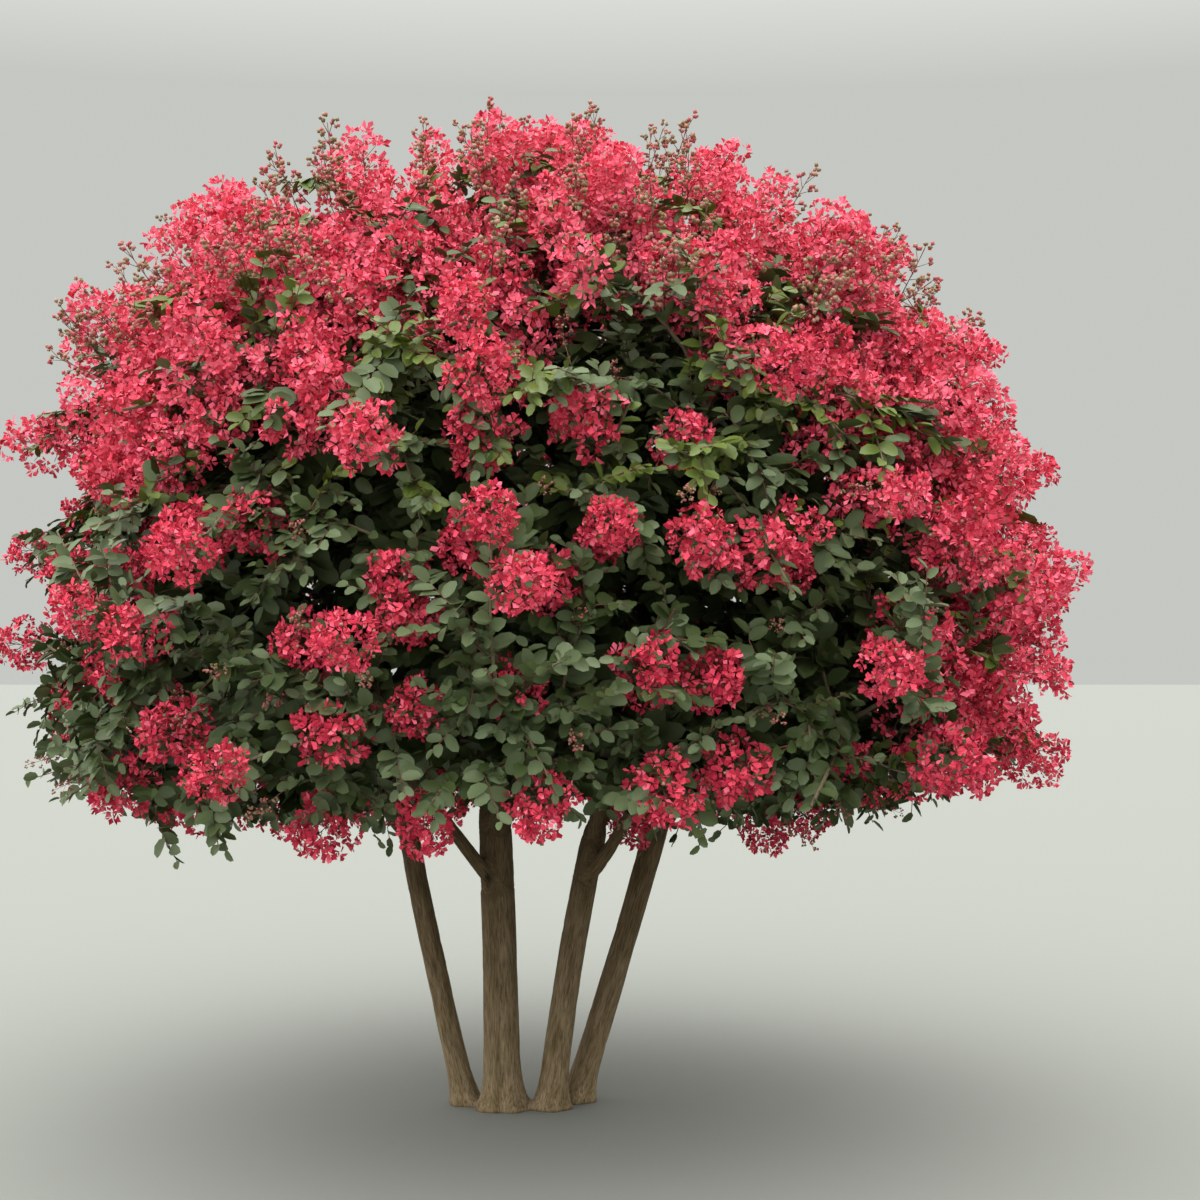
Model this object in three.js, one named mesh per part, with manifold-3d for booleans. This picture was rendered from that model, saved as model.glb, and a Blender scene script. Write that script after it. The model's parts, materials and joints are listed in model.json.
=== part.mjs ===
// Crape myrtle in flower: a clump of four stems from one root, seventeen boughs, and a wide
// rounded crown of leaf and blossom in seventeen masses.
//
// Millimetres, +Z up. The ground is Z = 0, and the origin is the middle of the main stem's foot.
// -Y is the front of the plant, +X its right. Azimuths turn from +X towards +Y.

import * as THREE from "three";
import { mergeVertices } from "three/addons/utils/BufferGeometryUtils.js";
import Module from "manifold-3d";

const wasm = await Module();
wasm.setup();

// ---------------------------------------------------------------------------------------------
// Driving dimensions
// ---------------------------------------------------------------------------------------------

const DEGREE = Math.PI / 180;
const GAP = 0.3;
const SMALLEST_EDGE = 0.1;

// The crown is a dome on a short straight skirt, turned about an upright axis.
const CROWN = {
  x: 80,
  y: 0,
  radius: 1640,
  top: 3000,
  widest: 1400,
  hem: 700,
  domeRoundness: 2.3,
  skirtRoundness: 4,
};

// Two slow waves round the crown, and the fuller shoulder high on its left.
const LOBES = [
  { count: 3, swell: 0.03, turn: -10 * DEGREE },
  { count: 5, swell: 0.02, turn: 30 * DEGREE },
];
const SHOULDER = { azimuth: 195 * DEGREE, swell: 0.05, from: 1800, full: 2700 };

// The underside is lifted in one narrow lobe at the front, and rises towards the stems.
const UNDERSIDE = {
  low: 740,
  lift: 220,
  lifted: 272 * DEGREE,
  within: 6,
  rise: 320,
  riseWithin: 1150,
};

// Height above which every shoot flowers: late at the shaded front, early on the sunny right.
const BLOOM = {
  line: 1880,
  late: 450,
  latest: 277 * DEGREE,
  lateWithin: 8,
  early: 900,
  earlyFrom: 0.58,
  earlyFull: 0.84,
  strays: 0.24,
};

// The point inside the crown that its shoots grow away from.
const HEART = new THREE.Vector3(CROWN.x, CROWN.y, 1300);

// Foot and top of each stem's axis, its radius low and high, and how its section is fluted.
const STEMS = {
  middle: {
    foot: [0, 0],
    top: [-26, -62, 1000],
    radius: [51, 44],
    bow: [4, 0],
    fold: 0.11,
    groove: 0.16,
  },
  left: {
    foot: [-114, 58],
    top: [-320, 116, 940],
    radius: [35, 31],
    bow: [-8, 4],
    fold: 0.04,
    groove: 0.05,
  },
  near_right: {
    foot: [146, 6],
    top: [292, -42, 900],
    radius: [40, 37],
    bow: [-14, -4],
    fold: 0.05,
    groove: 0.06,
  },
  far_right: {
    foot: [220, 96],
    top: [518, 168, 1000],
    radius: [40, 35],
    bow: [6, 4],
    fold: 0.05,
    groove: 0.04,
  },
};
const STEM_SIDES = 12;
const STEM_STEPS = 7;

// The root flare swells each stem close to the ground, where the four feet meet.
const FLARE = { swell: 0.62, height: 48 };

// Rings of foliage masses: radius of the ring, height of the masses' centres, first azimuth,
// where the bough hands over to the mass, and the share of the stem's height it leaves at.
const RINGS = {
  low: {
    out: 1110,
    height: 1210,
    first: 270 * DEGREE,
    tipOut: 660,
    tipHeight: 1150,
    leaves: 0.86,
    spread: 1.0,
  },
  upper: {
    out: 960,
    height: 1990,
    first: 0,
    tipOut: 590,
    tipHeight: 1740,
    leaves: 0.9,
    spread: 0.42,
  },
  top: {
    out: 400,
    height: 2480,
    first: 60 * DEGREE,
    tipOut: 270,
    tipHeight: 2040,
    leaves: 0.94,
    spread: 0.12,
  },
};

// Where the next bough that the same stem carries leaves it, and the highest that one may. Two
// low boughs leave their stems well before the others.
const NEXT_BOUGH_HIGHER = 0.012;
const HIGHEST_BOUGH = 0.99;
const EARLY_BOUGHS = { low_front_left: 0.68, low_front_right: 0.78 };

// How far a bough keeps to its stem's direction, and then to its mass's, as shares of its reach.
const BOUGH_SETS_OFF = 0.36;
const BOUGH_ARRIVES = 0.3;

// The masses of each ring in order of azimuth, each with the stem that carries its bough.
const MASSES = {
  low: {
    front: "middle",
    front_right: "near_right",
    right: "far_right",
    back_right: "far_right",
    back_left: "left",
    left: "left",
    front_left: "middle",
  },
  upper: {
    right: "far_right",
    back_right: "far_right",
    back_left: "left",
    left: "left",
    front_left: "middle",
    front_right: "near_right",
  },
  top: {
    back_right: "far_right",
    back_left: "left",
    front_left: "middle",
    front_right: "near_right",
  },
};
const BOUGH_RADIUS = { low: [22, 12], upper: [28, 12], top: [27, 12] };
const BOUGH_SIDES = 7;
const BOUGH_STEPS = 5;

// The leading shoots: the topmost one, and the furthest to each side.
const LEADERS = [
  { azimuth: -30 * DEGREE, height: 2988 },
  { azimuth: 0, height: 1420 },
  { azimuth: 92 * DEGREE, height: 1440 },
  { azimuth: 184 * DEGREE, height: 1420 },
  { azimuth: 268 * DEGREE, height: 1400 },
];

// Growth of a mass. Shoot tips are dealt evenly over the crown, each to its nearest mass.
const TIP_COUNT = 125;
const TIP_STEP_UP = 0.7548776662466927;
const TIP_STEP_ROUND = 0.5698402909980532;
const TIP_INSET = 172;
const TIP_ABOVE_HEM = 90;
const INNER_EVERY = 6;
const INNER_INSET = 500;
const PATH_WEIGHT = 0.4;
const BRANCH_AT = [0.3, 0.7];
const STEM_BRANCH_AT = [0.25, 0.45, 0.63, 0.8, 0.97];
const TWIG_ARCH = { along: 0.35, up: 0.1, weep: 0.22, weepBelow: 1500 };
const TWIG_RADIUS = [8, 4.5];
const TWIG_STEPS = 2;
const MASS_STEM_RADIUS = [11, 7];
const CELL_MARGIN = 2;

// A leaf here stands for a leafy spray, and a bloom for one whole panicle.
const SPRAY = { length: 345, width: 205, thickness: 9, widestAt: 0.4, sunk: 2, least: 0.85 };
const SPRAY_TILT = 0.5;
const SPRAYS_AT = [0.9, 0.68, 0.46];
const ATTEMPTS = 9;
const SHORTEN = 0.05;
const TIP_SPRAY_LENGTH = 182;
const TIP_OUTWARD = 0.75;
const PANICLE = { length: 196, width: 128, sunk: 34 };
const TIP_SPRAY_SUNK = 14;
const GOLDEN_ANGLE = 137.5 * DEGREE;
const SEED = 20;

// ---------------------------------------------------------------------------------------------
// Materials
// ---------------------------------------------------------------------------------------------

const bark = new THREE.MeshStandardMaterial({ color: 0x75664f, roughness: 0.85, metalness: 0 });
const leaf = new THREE.MeshStandardMaterial({ color: 0x4a5135, roughness: 0.6, metalness: 0 });
const blossom = new THREE.MeshStandardMaterial({ color: 0xb84e53, roughness: 0.7, metalness: 0 });

// ---------------------------------------------------------------------------------------------
// Solids
// ---------------------------------------------------------------------------------------------

function weldedPositions(geometry) {
  geometry.deleteAttribute("normal");
  geometry.deleteAttribute("uv");
  return mergeVertices(geometry);
}

function solidOf(geometry) {
  const vertProperties = new Float32Array(geometry.attributes.position.array);
  const triVerts = new Uint32Array(geometry.index.array);
  return new wasm.Manifold(new wasm.Mesh({ numProp: 3, vertProperties, triVerts }));
}

// The main body of a solid: loose scraps and sealed hollows are left behind.
function mainBody(solid) {
  const bodies = solid.decompose();
  return bodies.reduce((best, body) => (body.volume() > best.volume() ? body : best));
}

function meshOf(name, solid, material) {
  const { vertProperties, triVerts } = solid.getMesh();
  const geometry = new THREE.BufferGeometry();
  geometry.setAttribute("position", new THREE.BufferAttribute(vertProperties, 3));
  geometry.setIndex(new THREE.BufferAttribute(triVerts, 1));
  geometry.computeVertexNormals();
  const mesh = new THREE.Mesh(geometry, material);
  mesh.name = name;
  return mesh;
}

// A closed round bar bent along a curve. radiusAt(share, turn) is its radius at a share of the
// curve's length and an angle round it; grown makes the bar that much thicker and longer.
function barAlong(curve, radiusAt, { sides, steps, level = false, grown = 0 }) {
  const geometry = weldedPositions(new THREE.CylinderGeometry(1, 1, 1, sides, steps));
  const frames = curve.computeFrenetFrames(steps);
  const position = geometry.attributes.position;
  const vertex = new THREE.Vector3();
  for (let i = 0; i < position.count; i += 1) {
    vertex.fromBufferAttribute(position, i);
    const share = vertex.y + 0.5;
    const ring = Math.round(share * steps);
    const along = level ? new THREE.Vector3(0, 0, 1) : frames.tangents[ring];
    const side = level ? new THREE.Vector3(1, 0, 0) : frames.normals[ring];
    const back = new THREE.Vector3().crossVectors(side, along);
    const radius = radiusAt(share, Math.atan2(-vertex.z, vertex.x)) + grown;
    const past = ring === 0 ? -grown : ring === steps ? grown : 0;
    const point = curve.getPointAt(share).addScaledVector(along, past);
    point.addScaledVector(side, vertex.x * radius).addScaledVector(back, vertex.z * radius);
    position.setXYZ(i, point.x, point.y, point.z);
  }
  return solidOf(geometry);
}

// ---------------------------------------------------------------------------------------------
// Crown
// ---------------------------------------------------------------------------------------------

function crownRadius(height, azimuth) {
  const over = height > CROWN.widest;
  const reach = over ? CROWN.top - CROWN.widest : CROWN.widest - CROWN.hem;
  const rise = Math.abs(height - CROWN.widest) / reach;
  const roundness = over ? CROWN.domeRoundness : CROWN.skirtRoundness;
  const profile = Math.sqrt(Math.max(0, 1 - rise ** roundness));
  let lobes = 1;
  for (const { count, swell, turn } of LOBES) {
    lobes += swell * Math.cos(count * (azimuth - turn));
  }
  const facing = Math.max(0, Math.cos(azimuth - SHOULDER.azimuth));
  const high = THREE.MathUtils.smoothstep(height, SHOULDER.from, SHOULDER.full);
  const shoulder = 1 + SHOULDER.swell * facing * high;
  return CROWN.radius * profile * lobes * shoulder;
}

function undersideHeight(azimuth, out) {
  const rise = UNDERSIDE.rise * Math.max(0, 1 - out / UNDERSIDE.riseWithin);
  const facing = (1 + Math.cos(azimuth - UNDERSIDE.lifted)) / 2;
  return UNDERSIDE.low + UNDERSIDE.lift * facing ** UNDERSIDE.within + rise;
}

function azimuthOf(point) {
  return Math.atan2(point.y - CROWN.y, point.x - CROWN.x);
}

function outOf(point) {
  return Math.hypot(point.x - CROWN.x, point.y - CROWN.y);
}

function insideCrown(point) {
  const azimuth = azimuthOf(point);
  const out = outOf(point);
  return out <= crownRadius(point.z, azimuth) && point.z >= undersideHeight(azimuth, out);
}

function aroundAxis(azimuth, out, height) {
  return new THREE.Vector3(CROWN.x + out * Math.cos(azimuth), CROWN.y + out * Math.sin(azimuth), height);
}

// ---------------------------------------------------------------------------------------------
// Stems and boughs
// ---------------------------------------------------------------------------------------------

function stemCurve({ foot, top, bow }) {
  const start = new THREE.Vector3(foot[0], foot[1], 0);
  const end = new THREE.Vector3(...top);
  const middle = start.clone().lerp(end, 0.5).add(new THREE.Vector3(bow[0], bow[1], 0));
  return new THREE.CatmullRomCurve3([start, middle, end]);
}

// Crape myrtle stems are folded like muscle: an oval section with a long groove front and back.
function stemBar(stem, grown) {
  const curve = stemCurve(stem);
  const [low, high] = stem.radius;
  const radiusAt = (share, turn) => {
    const flare = 1 + FLARE.swell * Math.exp((-share * stem.top[2]) / FLARE.height);
    const fold = 1 + stem.fold * Math.cos(2 * turn);
    const groove = 1 - stem.groove * Math.max(0, -Math.cos(2 * turn)) ** 6;
    return THREE.MathUtils.lerp(low, high, share) * flare * fold * groove;
  };
  return barAlong(curve, radiusAt, { sides: STEM_SIDES, steps: STEM_STEPS, level: true, grown });
}

function boughCurve(mass) {
  const stem = STEMS[mass.stem];
  const path = stemCurve(stem);
  const start = path.getPointAt(mass.leaves);
  const upwards = path.getTangentAt(mass.leaves);
  const reach = mass.boughTip.clone().sub(start);
  const outwards = new THREE.Vector3(reach.x, reach.y, 0).normalize();
  const setsOff = upwards.addScaledVector(outwards, mass.spread).normalize();
  const arrives = mass.centre.clone().sub(mass.boughTip).normalize();
  const length = reach.length();
  return new THREE.CubicBezierCurve3(
    start,
    start.clone().addScaledVector(setsOff, length * BOUGH_SETS_OFF),
    mass.boughTip.clone().addScaledVector(arrives, -length * BOUGH_ARRIVES),
    mass.boughTip,
  );
}

function boughBar(mass, grown) {
  const [thick, thin] = BOUGH_RADIUS[mass.ring];
  const radiusAt = (share) => THREE.MathUtils.lerp(thick, thin, share);
  return barAlong(mass.bough, radiusAt, { sides: BOUGH_SIDES, steps: BOUGH_STEPS, grown });
}

function listMasses() {
  const masses = [];
  const carried = {};
  for (const [ring, places] of Object.entries(MASSES)) {
    const names = Object.keys(places);
    const { out, height, first, tipOut, tipHeight, leaves, spread } = RINGS[ring];
    names.forEach((place, i) => {
      const azimuth = first + (i * 2 * Math.PI) / names.length;
      const stem = places[place];
      carried[stem] = (carried[stem] ?? -1) + 1;
      const name = `${ring}_${place}`;
      const inTurn = leaves + NEXT_BOUGH_HIGHER * carried[stem];
      const mass = {
        name,
        ring,
        stem,
        spread,
        leaves: EARLY_BOUGHS[name] ?? Math.min(HIGHEST_BOUGH, inTurn),
        centre: aroundAxis(azimuth, out, height),
        boughTip: aroundAxis(azimuth, tipOut, tipHeight),
      };
      mass.bough = boughCurve(mass);
      masses.push(mass);
    });
  }
  return masses;
}

// ---------------------------------------------------------------------------------------------
// Foliage masses
// ---------------------------------------------------------------------------------------------

// Repeatable random numbers from 0 to 1.
function randomFrom(seed) {
  let state = seed >>> 0;
  return () => {
    state = (state + 0x6d2b79f5) >>> 0;
    let mixed = Math.imul(state ^ (state >>> 15), state | 1);
    mixed ^= mixed + Math.imul(mixed ^ (mixed >>> 7), mixed | 61);
    return ((mixed ^ (mixed >>> 14)) >>> 0) / 4294967296;
  };
}

function underSurface(azimuth, height, inset) {
  const surface = aroundAxis(azimuth, crownRadius(height, azimuth), height);
  const inwards = HEART.clone().sub(surface).normalize();
  return surface.addScaledVector(inwards, inset);
}

// The place of a shoot's tip. Successive tips fall evenly over the crown, and never side by side.
function tipPlace(number) {
  if (number < LEADERS.length) {
    return underSurface(LEADERS[number].azimuth, LEADERS[number].height, TIP_INSET);
  }
  const up = (0.5 + number * TIP_STEP_UP) % 1;
  const azimuth = ((0.5 + number * TIP_STEP_ROUND) % 1) * 2 * Math.PI;
  const hem = undersideHeight(azimuth, CROWN.radius);
  const height = THREE.MathUtils.lerp(hem + TIP_ABOVE_HEM, CROWN.top, up);
  return underSurface(azimuth, height, number % INNER_EVERY === 0 ? INNER_INSET : TIP_INSET);
}

function nearestMass(masses, point) {
  return masses.reduce((best, mass) =>
    mass.centre.distanceTo(point) < best.centre.distanceTo(point) ? mass : best);
}

function inBloom(point, chance) {
  const azimuth = azimuthOf(point);
  const late = BLOOM.late * Math.max(0, Math.cos(azimuth - BLOOM.latest)) ** BLOOM.lateWithin;
  const share = THREE.MathUtils.smoothstep(Math.cos(azimuth), BLOOM.earlyFrom, BLOOM.earlyFull);
  const early = BLOOM.early * share;
  return point.z > BLOOM.line + late - early || chance < BLOOM.strays;
}

// A mass keeps to the points nearer to its own centre than to any other mass's.
function insideCell(mass, masses, point) {
  const own = mass.centre;
  return masses.every((other) => {
    if (other === mass) {
      return true;
    }
    const across = other.centre.clone().sub(own);
    const halfway = across.length() / 2 - CELL_MARGIN;
    return point.clone().sub(own).dot(across.normalize()) <= halfway;
  });
}

function vertexPoints(geometry) {
  const position = geometry.attributes.position;
  const pointAt = (_, i) => new THREE.Vector3().fromBufferAttribute(position, i);
  return Array.from({ length: position.count }, pointAt);
}

// A spray is a flat diamond, widest nearer its root, that lies along `direction` and faces `facing`.
function sprayGeometry(root, direction, facing, length, sunk) {
  const scale = length / SPRAY.length;
  const geometry = weldedPositions(new THREE.OctahedronGeometry(1));
  const across = new THREE.Vector3().crossVectors(facing, direction).normalize();
  const face = new THREE.Vector3().crossVectors(direction, across);
  const basis = new THREE.Matrix4().makeBasis(direction, across, face);
  const middle = new THREE.Matrix4().makeTranslation(SPRAY.widestAt * length - sunk, 0, 0);
  const position = geometry.attributes.position;
  for (let i = 0; i < position.count; i += 1) {
    const x = position.getX(i);
    const part = x > 0 ? 1 - SPRAY.widestAt : SPRAY.widestAt;
    const y = (position.getY(i) * SPRAY.width * scale) / 2;
    position.setXYZ(i, x * part * length, y, (position.getZ(i) * SPRAY.thickness) / 2);
  }
  geometry.applyMatrix4(middle);
  geometry.applyMatrix4(basis);
  geometry.translate(root.x, root.y, root.z);
  return geometry;
}

function panicleGeometry(root, direction) {
  const geometry = weldedPositions(new THREE.IcosahedronGeometry(1));
  geometry.scale(PANICLE.width / 2, PANICLE.width / 2, PANICLE.length / 2);
  geometry.translate(0, 0, PANICLE.length / 2 - PANICLE.sunk);
  const turn = new THREE.Quaternion().setFromUnitVectors(new THREE.Vector3(0, 0, 1), direction);
  geometry.applyQuaternion(turn);
  geometry.translate(root.x, root.y, root.z);
  return geometry;
}

// A twig leaves its parent along the parent's own direction, lifts, and bends over to its tip.
function twigCurve(start, tip) {
  const length = start.point.distanceTo(tip);
  const low = Math.max(0, (TWIG_ARCH.weepBelow - tip.z) / TWIG_ARCH.weepBelow);
  const lift = (TWIG_ARCH.up + TWIG_ARCH.weep * low) * length;
  const knee = start.point.clone().addScaledVector(start.direction, TWIG_ARCH.along * length);
  knee.z += lift;
  return new THREE.QuadraticBezierCurve3(start.point, knee, tip);
}

function twigBar(curve) {
  const radiusAt = (share) => THREE.MathUtils.lerp(TWIG_RADIUS[0], TWIG_RADIUS[1], share);
  return barAlong(curve, radiusAt, { sides: 3, steps: TWIG_STEPS });
}

// The place at a share of a twig's length on its straight-sided bar, and the bar's direction there.
function placeOnTwig(curve, share) {
  const step = Math.min(TWIG_STEPS - 1, Math.floor(share * TWIG_STEPS));
  const from = curve.getPointAt(step / TWIG_STEPS);
  const to = curve.getPointAt((step + 1) / TWIG_STEPS);
  const point = from.clone().lerp(to, share * TWIG_STEPS - step);
  return { point, direction: to.sub(from).normalize() };
}

// The twigs of a mass: one stem from the bough's tip, and one twig to each shoot's tip, which
// leaves the stem or an earlier twig wherever that makes the shortest way from the bough. One
// twig at most leaves each place.
function growTwigs(mass, masses, tips, limbs) {
  const starts = [];
  const noteStarts = (curve, shares, travelled) => {
    const length = curve.getLength();
    for (const share of shares) {
      starts.push({ ...placeOnTwig(curve, share), path: travelled + share * length });
    }
  };

  const from = mass.boughTip.clone().addScaledVector(mass.bough.getTangentAt(1), GAP);
  const stemPath = new THREE.LineCurve3(from, mass.centre);
  const stemRadius = (share) => THREE.MathUtils.lerp(MASS_STEM_RADIUS[0], MASS_STEM_RADIUS[1], share);
  const stem = barAlong(stemPath, stemRadius, { sides: 5, steps: 1 });
  noteStarts(stemPath, STEM_BRANCH_AT, 0);

  const twigs = [];
  for (const tip of tips) {
    const cost = (start) => start.point.distanceTo(tip.point) + PATH_WEIGHT * start.path;
    const start = starts.reduce((best, other) => (cost(other) < cost(best) ? other : best));
    const curve = twigCurve(start, tip.point);
    const solid = twigBar(curve);
    const inCell = [curve.v1, tip.point].every((point) => insideCell(mass, masses, point));
    if (inCell && solid.intersect(limbs).isEmpty()) {
      twigs.push({ tip, curve, solid });
      starts.splice(starts.indexOf(start), 1);
      noteStarts(curve, BRANCH_AT, start.path);
    }
  }
  return { stem, twigs };
}

// One leafy spray that leaves its twig at `share`, turned `turn` round it, `size` times full size.
function sideSpray(curve, share, turn, size, random) {
  const { point, direction: along } = placeOnTwig(curve, share);
  const side = new THREE.Vector3(0, 0, 1).cross(along).normalize();
  const around = side.applyAxisAngle(along, turn);
  const direction = around.clone().addScaledVector(along, SPRAY_TILT).normalize();
  const facing = along.clone().addScaledVector(around, random() - 0.5).normalize();
  const length = SPRAY.length * size * THREE.MathUtils.lerp(SPRAY.least, 1, random());
  return sprayGeometry(point, direction, facing, length, SPRAY.sunk);
}

function tipGrowth(twig, random) {
  const { tip, curve } = twig;
  const outwards = tip.point.clone().sub(HEART).normalize();
  const end = placeOnTwig(curve, 1).direction.lerp(outwards, TIP_OUTWARD).normalize();
  if (inBloom(tip.point, random())) {
    return panicleGeometry(tip.point, end);
  }
  const facing = new THREE.Vector3(0, 0, 1).addScaledVector(end, -end.z).normalize();
  return sprayGeometry(tip.point, end, facing, TIP_SPRAY_LENGTH, TIP_SPRAY_SUNK);
}

function growMass(mass, masses, tips, limbs) {
  const { stem, twigs } = growTwigs(mass, masses, tips, limbs);
  const placed = [stem, ...twigs.map((twig) => twig.solid)];

  // A spray or a bloom joins its own twig only. One that would run into anything else, or
  // leave the mass's space, is not grown.
  const grow = (geometry, twig) => {
    const corners = vertexPoints(geometry);
    if (!corners.every((point) => insideCrown(point) && insideCell(mass, masses, point))) {
      return false;
    }
    const solid = solidOf(geometry);
    const inTheWay = (other) => other !== twig.solid && !solid.intersect(other).isEmpty();
    if (inTheWay(limbs) || placed.some(inTheWay)) {
      return false;
    }
    placed.push(solid);
    return true;
  };

  for (const twig of twigs) {
    const random = randomFrom(SEED + twig.tip.number);
    grow(tipGrowth(twig, random), twig);
    const firstTurn = random() * 2 * Math.PI;
    SPRAYS_AT.forEach((share, i) => {
      for (let attempt = 0; attempt < ATTEMPTS; attempt += 1) {
        const turn = firstTurn + (i + attempt / ATTEMPTS) * GOLDEN_ANGLE;
        const size = 1 - SHORTEN * attempt;
        if (grow(sideSpray(twig.curve, share, turn, size, random), twig)) {
          return;
        }
      }
    });
  }
  return mainBody(wasm.Manifold.union(placed)).asOriginal().simplify(SMALLEST_EDGE);
}

// ---------------------------------------------------------------------------------------------
// The tree
// ---------------------------------------------------------------------------------------------

const tree = new THREE.Group();
const masses = listMasses();

// Each limb is trimmed to lie just clear of the limbs made before it.
const limbShells = [];
function addLimb(name, makeBar) {
  const trimmed = limbShells.reduce((solid, shell) => solid.subtract(shell), makeBar(0));
  tree.add(meshOf(name, mainBody(trimmed).asOriginal().simplify(SMALLEST_EDGE), bark));
  limbShells.push(makeBar(GAP));
}

for (const [name, stem] of Object.entries(STEMS)) {
  addLimb(`stem_${name}`, (grown) => stemBar(stem, grown));
}
for (const mass of masses) {
  addLimb(`bough_${mass.name}`, (grown) => boughBar(mass, grown));
}

const limbs = wasm.Manifold.union(limbShells);
const tips = Array.from({ length: TIP_COUNT }, (_, number) => ({ number, point: tipPlace(number) }));
for (const mass of masses) {
  const own = tips.filter((tip) => nearestMass(masses, tip.point) === mass);
  const material = mass.ring === "low" ? leaf : blossom;
  tree.add(meshOf(`foliage_${mass.name}`, growMass(mass, masses, own, limbs), material));
}

export default tree;
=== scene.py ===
# %% [markdown]
# # A crape myrtle in flower
# The tree is one clump of four smooth, fluted stems from one root. They fork at waist height into
# seventeen boughs, and those carry a broad rounded crown of small leaves under ruffled red panicles.
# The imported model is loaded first. It holds the stems, the boughs and seventeen coarse masses of
# foliage at their true size, and every piece below is made to lie where those solids lie.

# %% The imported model
import json
import math

import bpy
import numpy as np
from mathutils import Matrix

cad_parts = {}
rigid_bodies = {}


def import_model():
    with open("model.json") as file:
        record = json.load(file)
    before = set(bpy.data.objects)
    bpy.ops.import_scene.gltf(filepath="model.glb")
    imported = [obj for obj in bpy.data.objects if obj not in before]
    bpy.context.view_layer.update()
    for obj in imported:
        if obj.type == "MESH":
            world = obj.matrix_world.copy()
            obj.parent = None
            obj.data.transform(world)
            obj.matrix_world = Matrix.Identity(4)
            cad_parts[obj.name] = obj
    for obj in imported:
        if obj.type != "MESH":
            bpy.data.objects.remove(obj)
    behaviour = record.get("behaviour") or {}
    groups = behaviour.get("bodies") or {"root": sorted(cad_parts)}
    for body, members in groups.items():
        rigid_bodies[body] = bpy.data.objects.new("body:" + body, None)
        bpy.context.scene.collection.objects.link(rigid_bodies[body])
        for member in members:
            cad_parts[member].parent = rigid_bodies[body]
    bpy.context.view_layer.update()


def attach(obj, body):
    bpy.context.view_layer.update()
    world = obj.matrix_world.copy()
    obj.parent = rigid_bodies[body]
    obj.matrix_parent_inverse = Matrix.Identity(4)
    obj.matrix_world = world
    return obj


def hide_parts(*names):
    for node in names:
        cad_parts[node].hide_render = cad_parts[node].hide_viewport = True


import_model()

# %% [markdown]
# ## Finishes: colours and nodes
# Paint charts and screens give colours as sRGB hex values, while Blender's shaders count light, so
# one function turns the first into the second. A second small function adds a node with its
# settings and its links, which keeps each material readable as a list.


# %% Colours and nodes
def linear(hex_colour):
    """The light values of an sRGB hex colour, with a full alpha."""
    channels = [int(hex_colour[i : i + 2], 16) / 255 for i in (1, 3, 5)]
    return [*(c / 12.92 if c <= 0.04045 else ((c + 0.055) / 1.055) ** 2.4 for c in channels), 1.0]


def add_node(owner, kind, settings=(), inputs=(), links=(), stops=()):
    """Adds a node: its settings, its sockets' values, what is linked in, and a ramp's colour stops."""
    tree = owner.node_tree
    node = tree.nodes.new("ShaderNode" + kind)
    for name, value in dict(settings).items():
        setattr(node, name, value)
    for name, value in dict(inputs).items():
        node.inputs[name].default_value = value
    for name, source in dict(links).items():
        tree.links.new(source, node.inputs[name])
    for number, (place, colour) in enumerate(stops):
        if number >= len(node.color_ramp.elements):
            node.color_ramp.elements.new(place)
        node.color_ramp.elements[number].position = place
        node.color_ramp.elements[number].color = linear(colour)
    return node


def new_material(name):
    """A material without nodes."""
    material = bpy.data.materials.new(name)
    material.use_nodes = True
    material.node_tree.nodes.clear()
    return material


def add_surface(material, inputs, links=()):
    """Gives a material its shader, and shows the shader on the surface."""
    shader = add_node(material, "BsdfPrincipled", inputs=inputs, links=links)
    add_node(material, "OutputMaterial", links={"Surface": shader.outputs["BSDF"]})
    return material


def plain_finish(name, hex_colour, roughness, **sockets):
    """A finish with the same colour all over, for leaves and petals that are dealt their colours."""
    inputs = {"Base Color": linear(hex_colour), "Roughness": roughness, **sockets}
    return add_surface(new_material(name), inputs)


# %% [markdown]
# ## Leaf, petal, bud and twig finishes
# A crape myrtle leaf is leathery: a waxy upper side over a dull green, so it has a soft broad shine.
# Leaves at the skin are partly a lighter greyed sage, as painted light, and many inside the crown are a
# darker green, as painted shade. The youngest at the top are a fresh yellow green with a little more
# gloss. Petals are crinkled like tissue and have no gloss to speak of, only a trace of velvety sheen,
# and their rose, red and crimson are painted lighter high up and darker lower down and in the shade.
# Buds and seed cases are dry and matt. Each finish is one plain colour, and the colours are dealt out
# shoot by shoot further on, as a mixture of shoots of different age and of painted light and shade.

# %% Leaf, petal, bud and twig finishes
LEAF_GLOSS = {"Specular IOR Level": 0.42}
LEAVES = {
    # Sage is painted light, for leaves at the skin.
    "sage": plain_finish("leaf_sage_painted_light", "#5d6b48", 0.52, **LEAF_GLOSS),
    "olive": plain_finish("leaf_olive_wax", "#46542d", 0.5, **LEAF_GLOSS),
    # Deep green is painted shade, for leaves inside the crown.
    "deep": plain_finish("leaf_green_painted_shade", "#3a4823", 0.55, **LEAF_GLOSS),
    "young": plain_finish("leaf_young_green", "#60702f", 0.42, **LEAF_GLOSS),
}
PETAL_SHEEN = {"Sheen Weight": 0.06, "Sheen Roughness": 0.5, "Specular IOR Level": 0.12}
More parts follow.
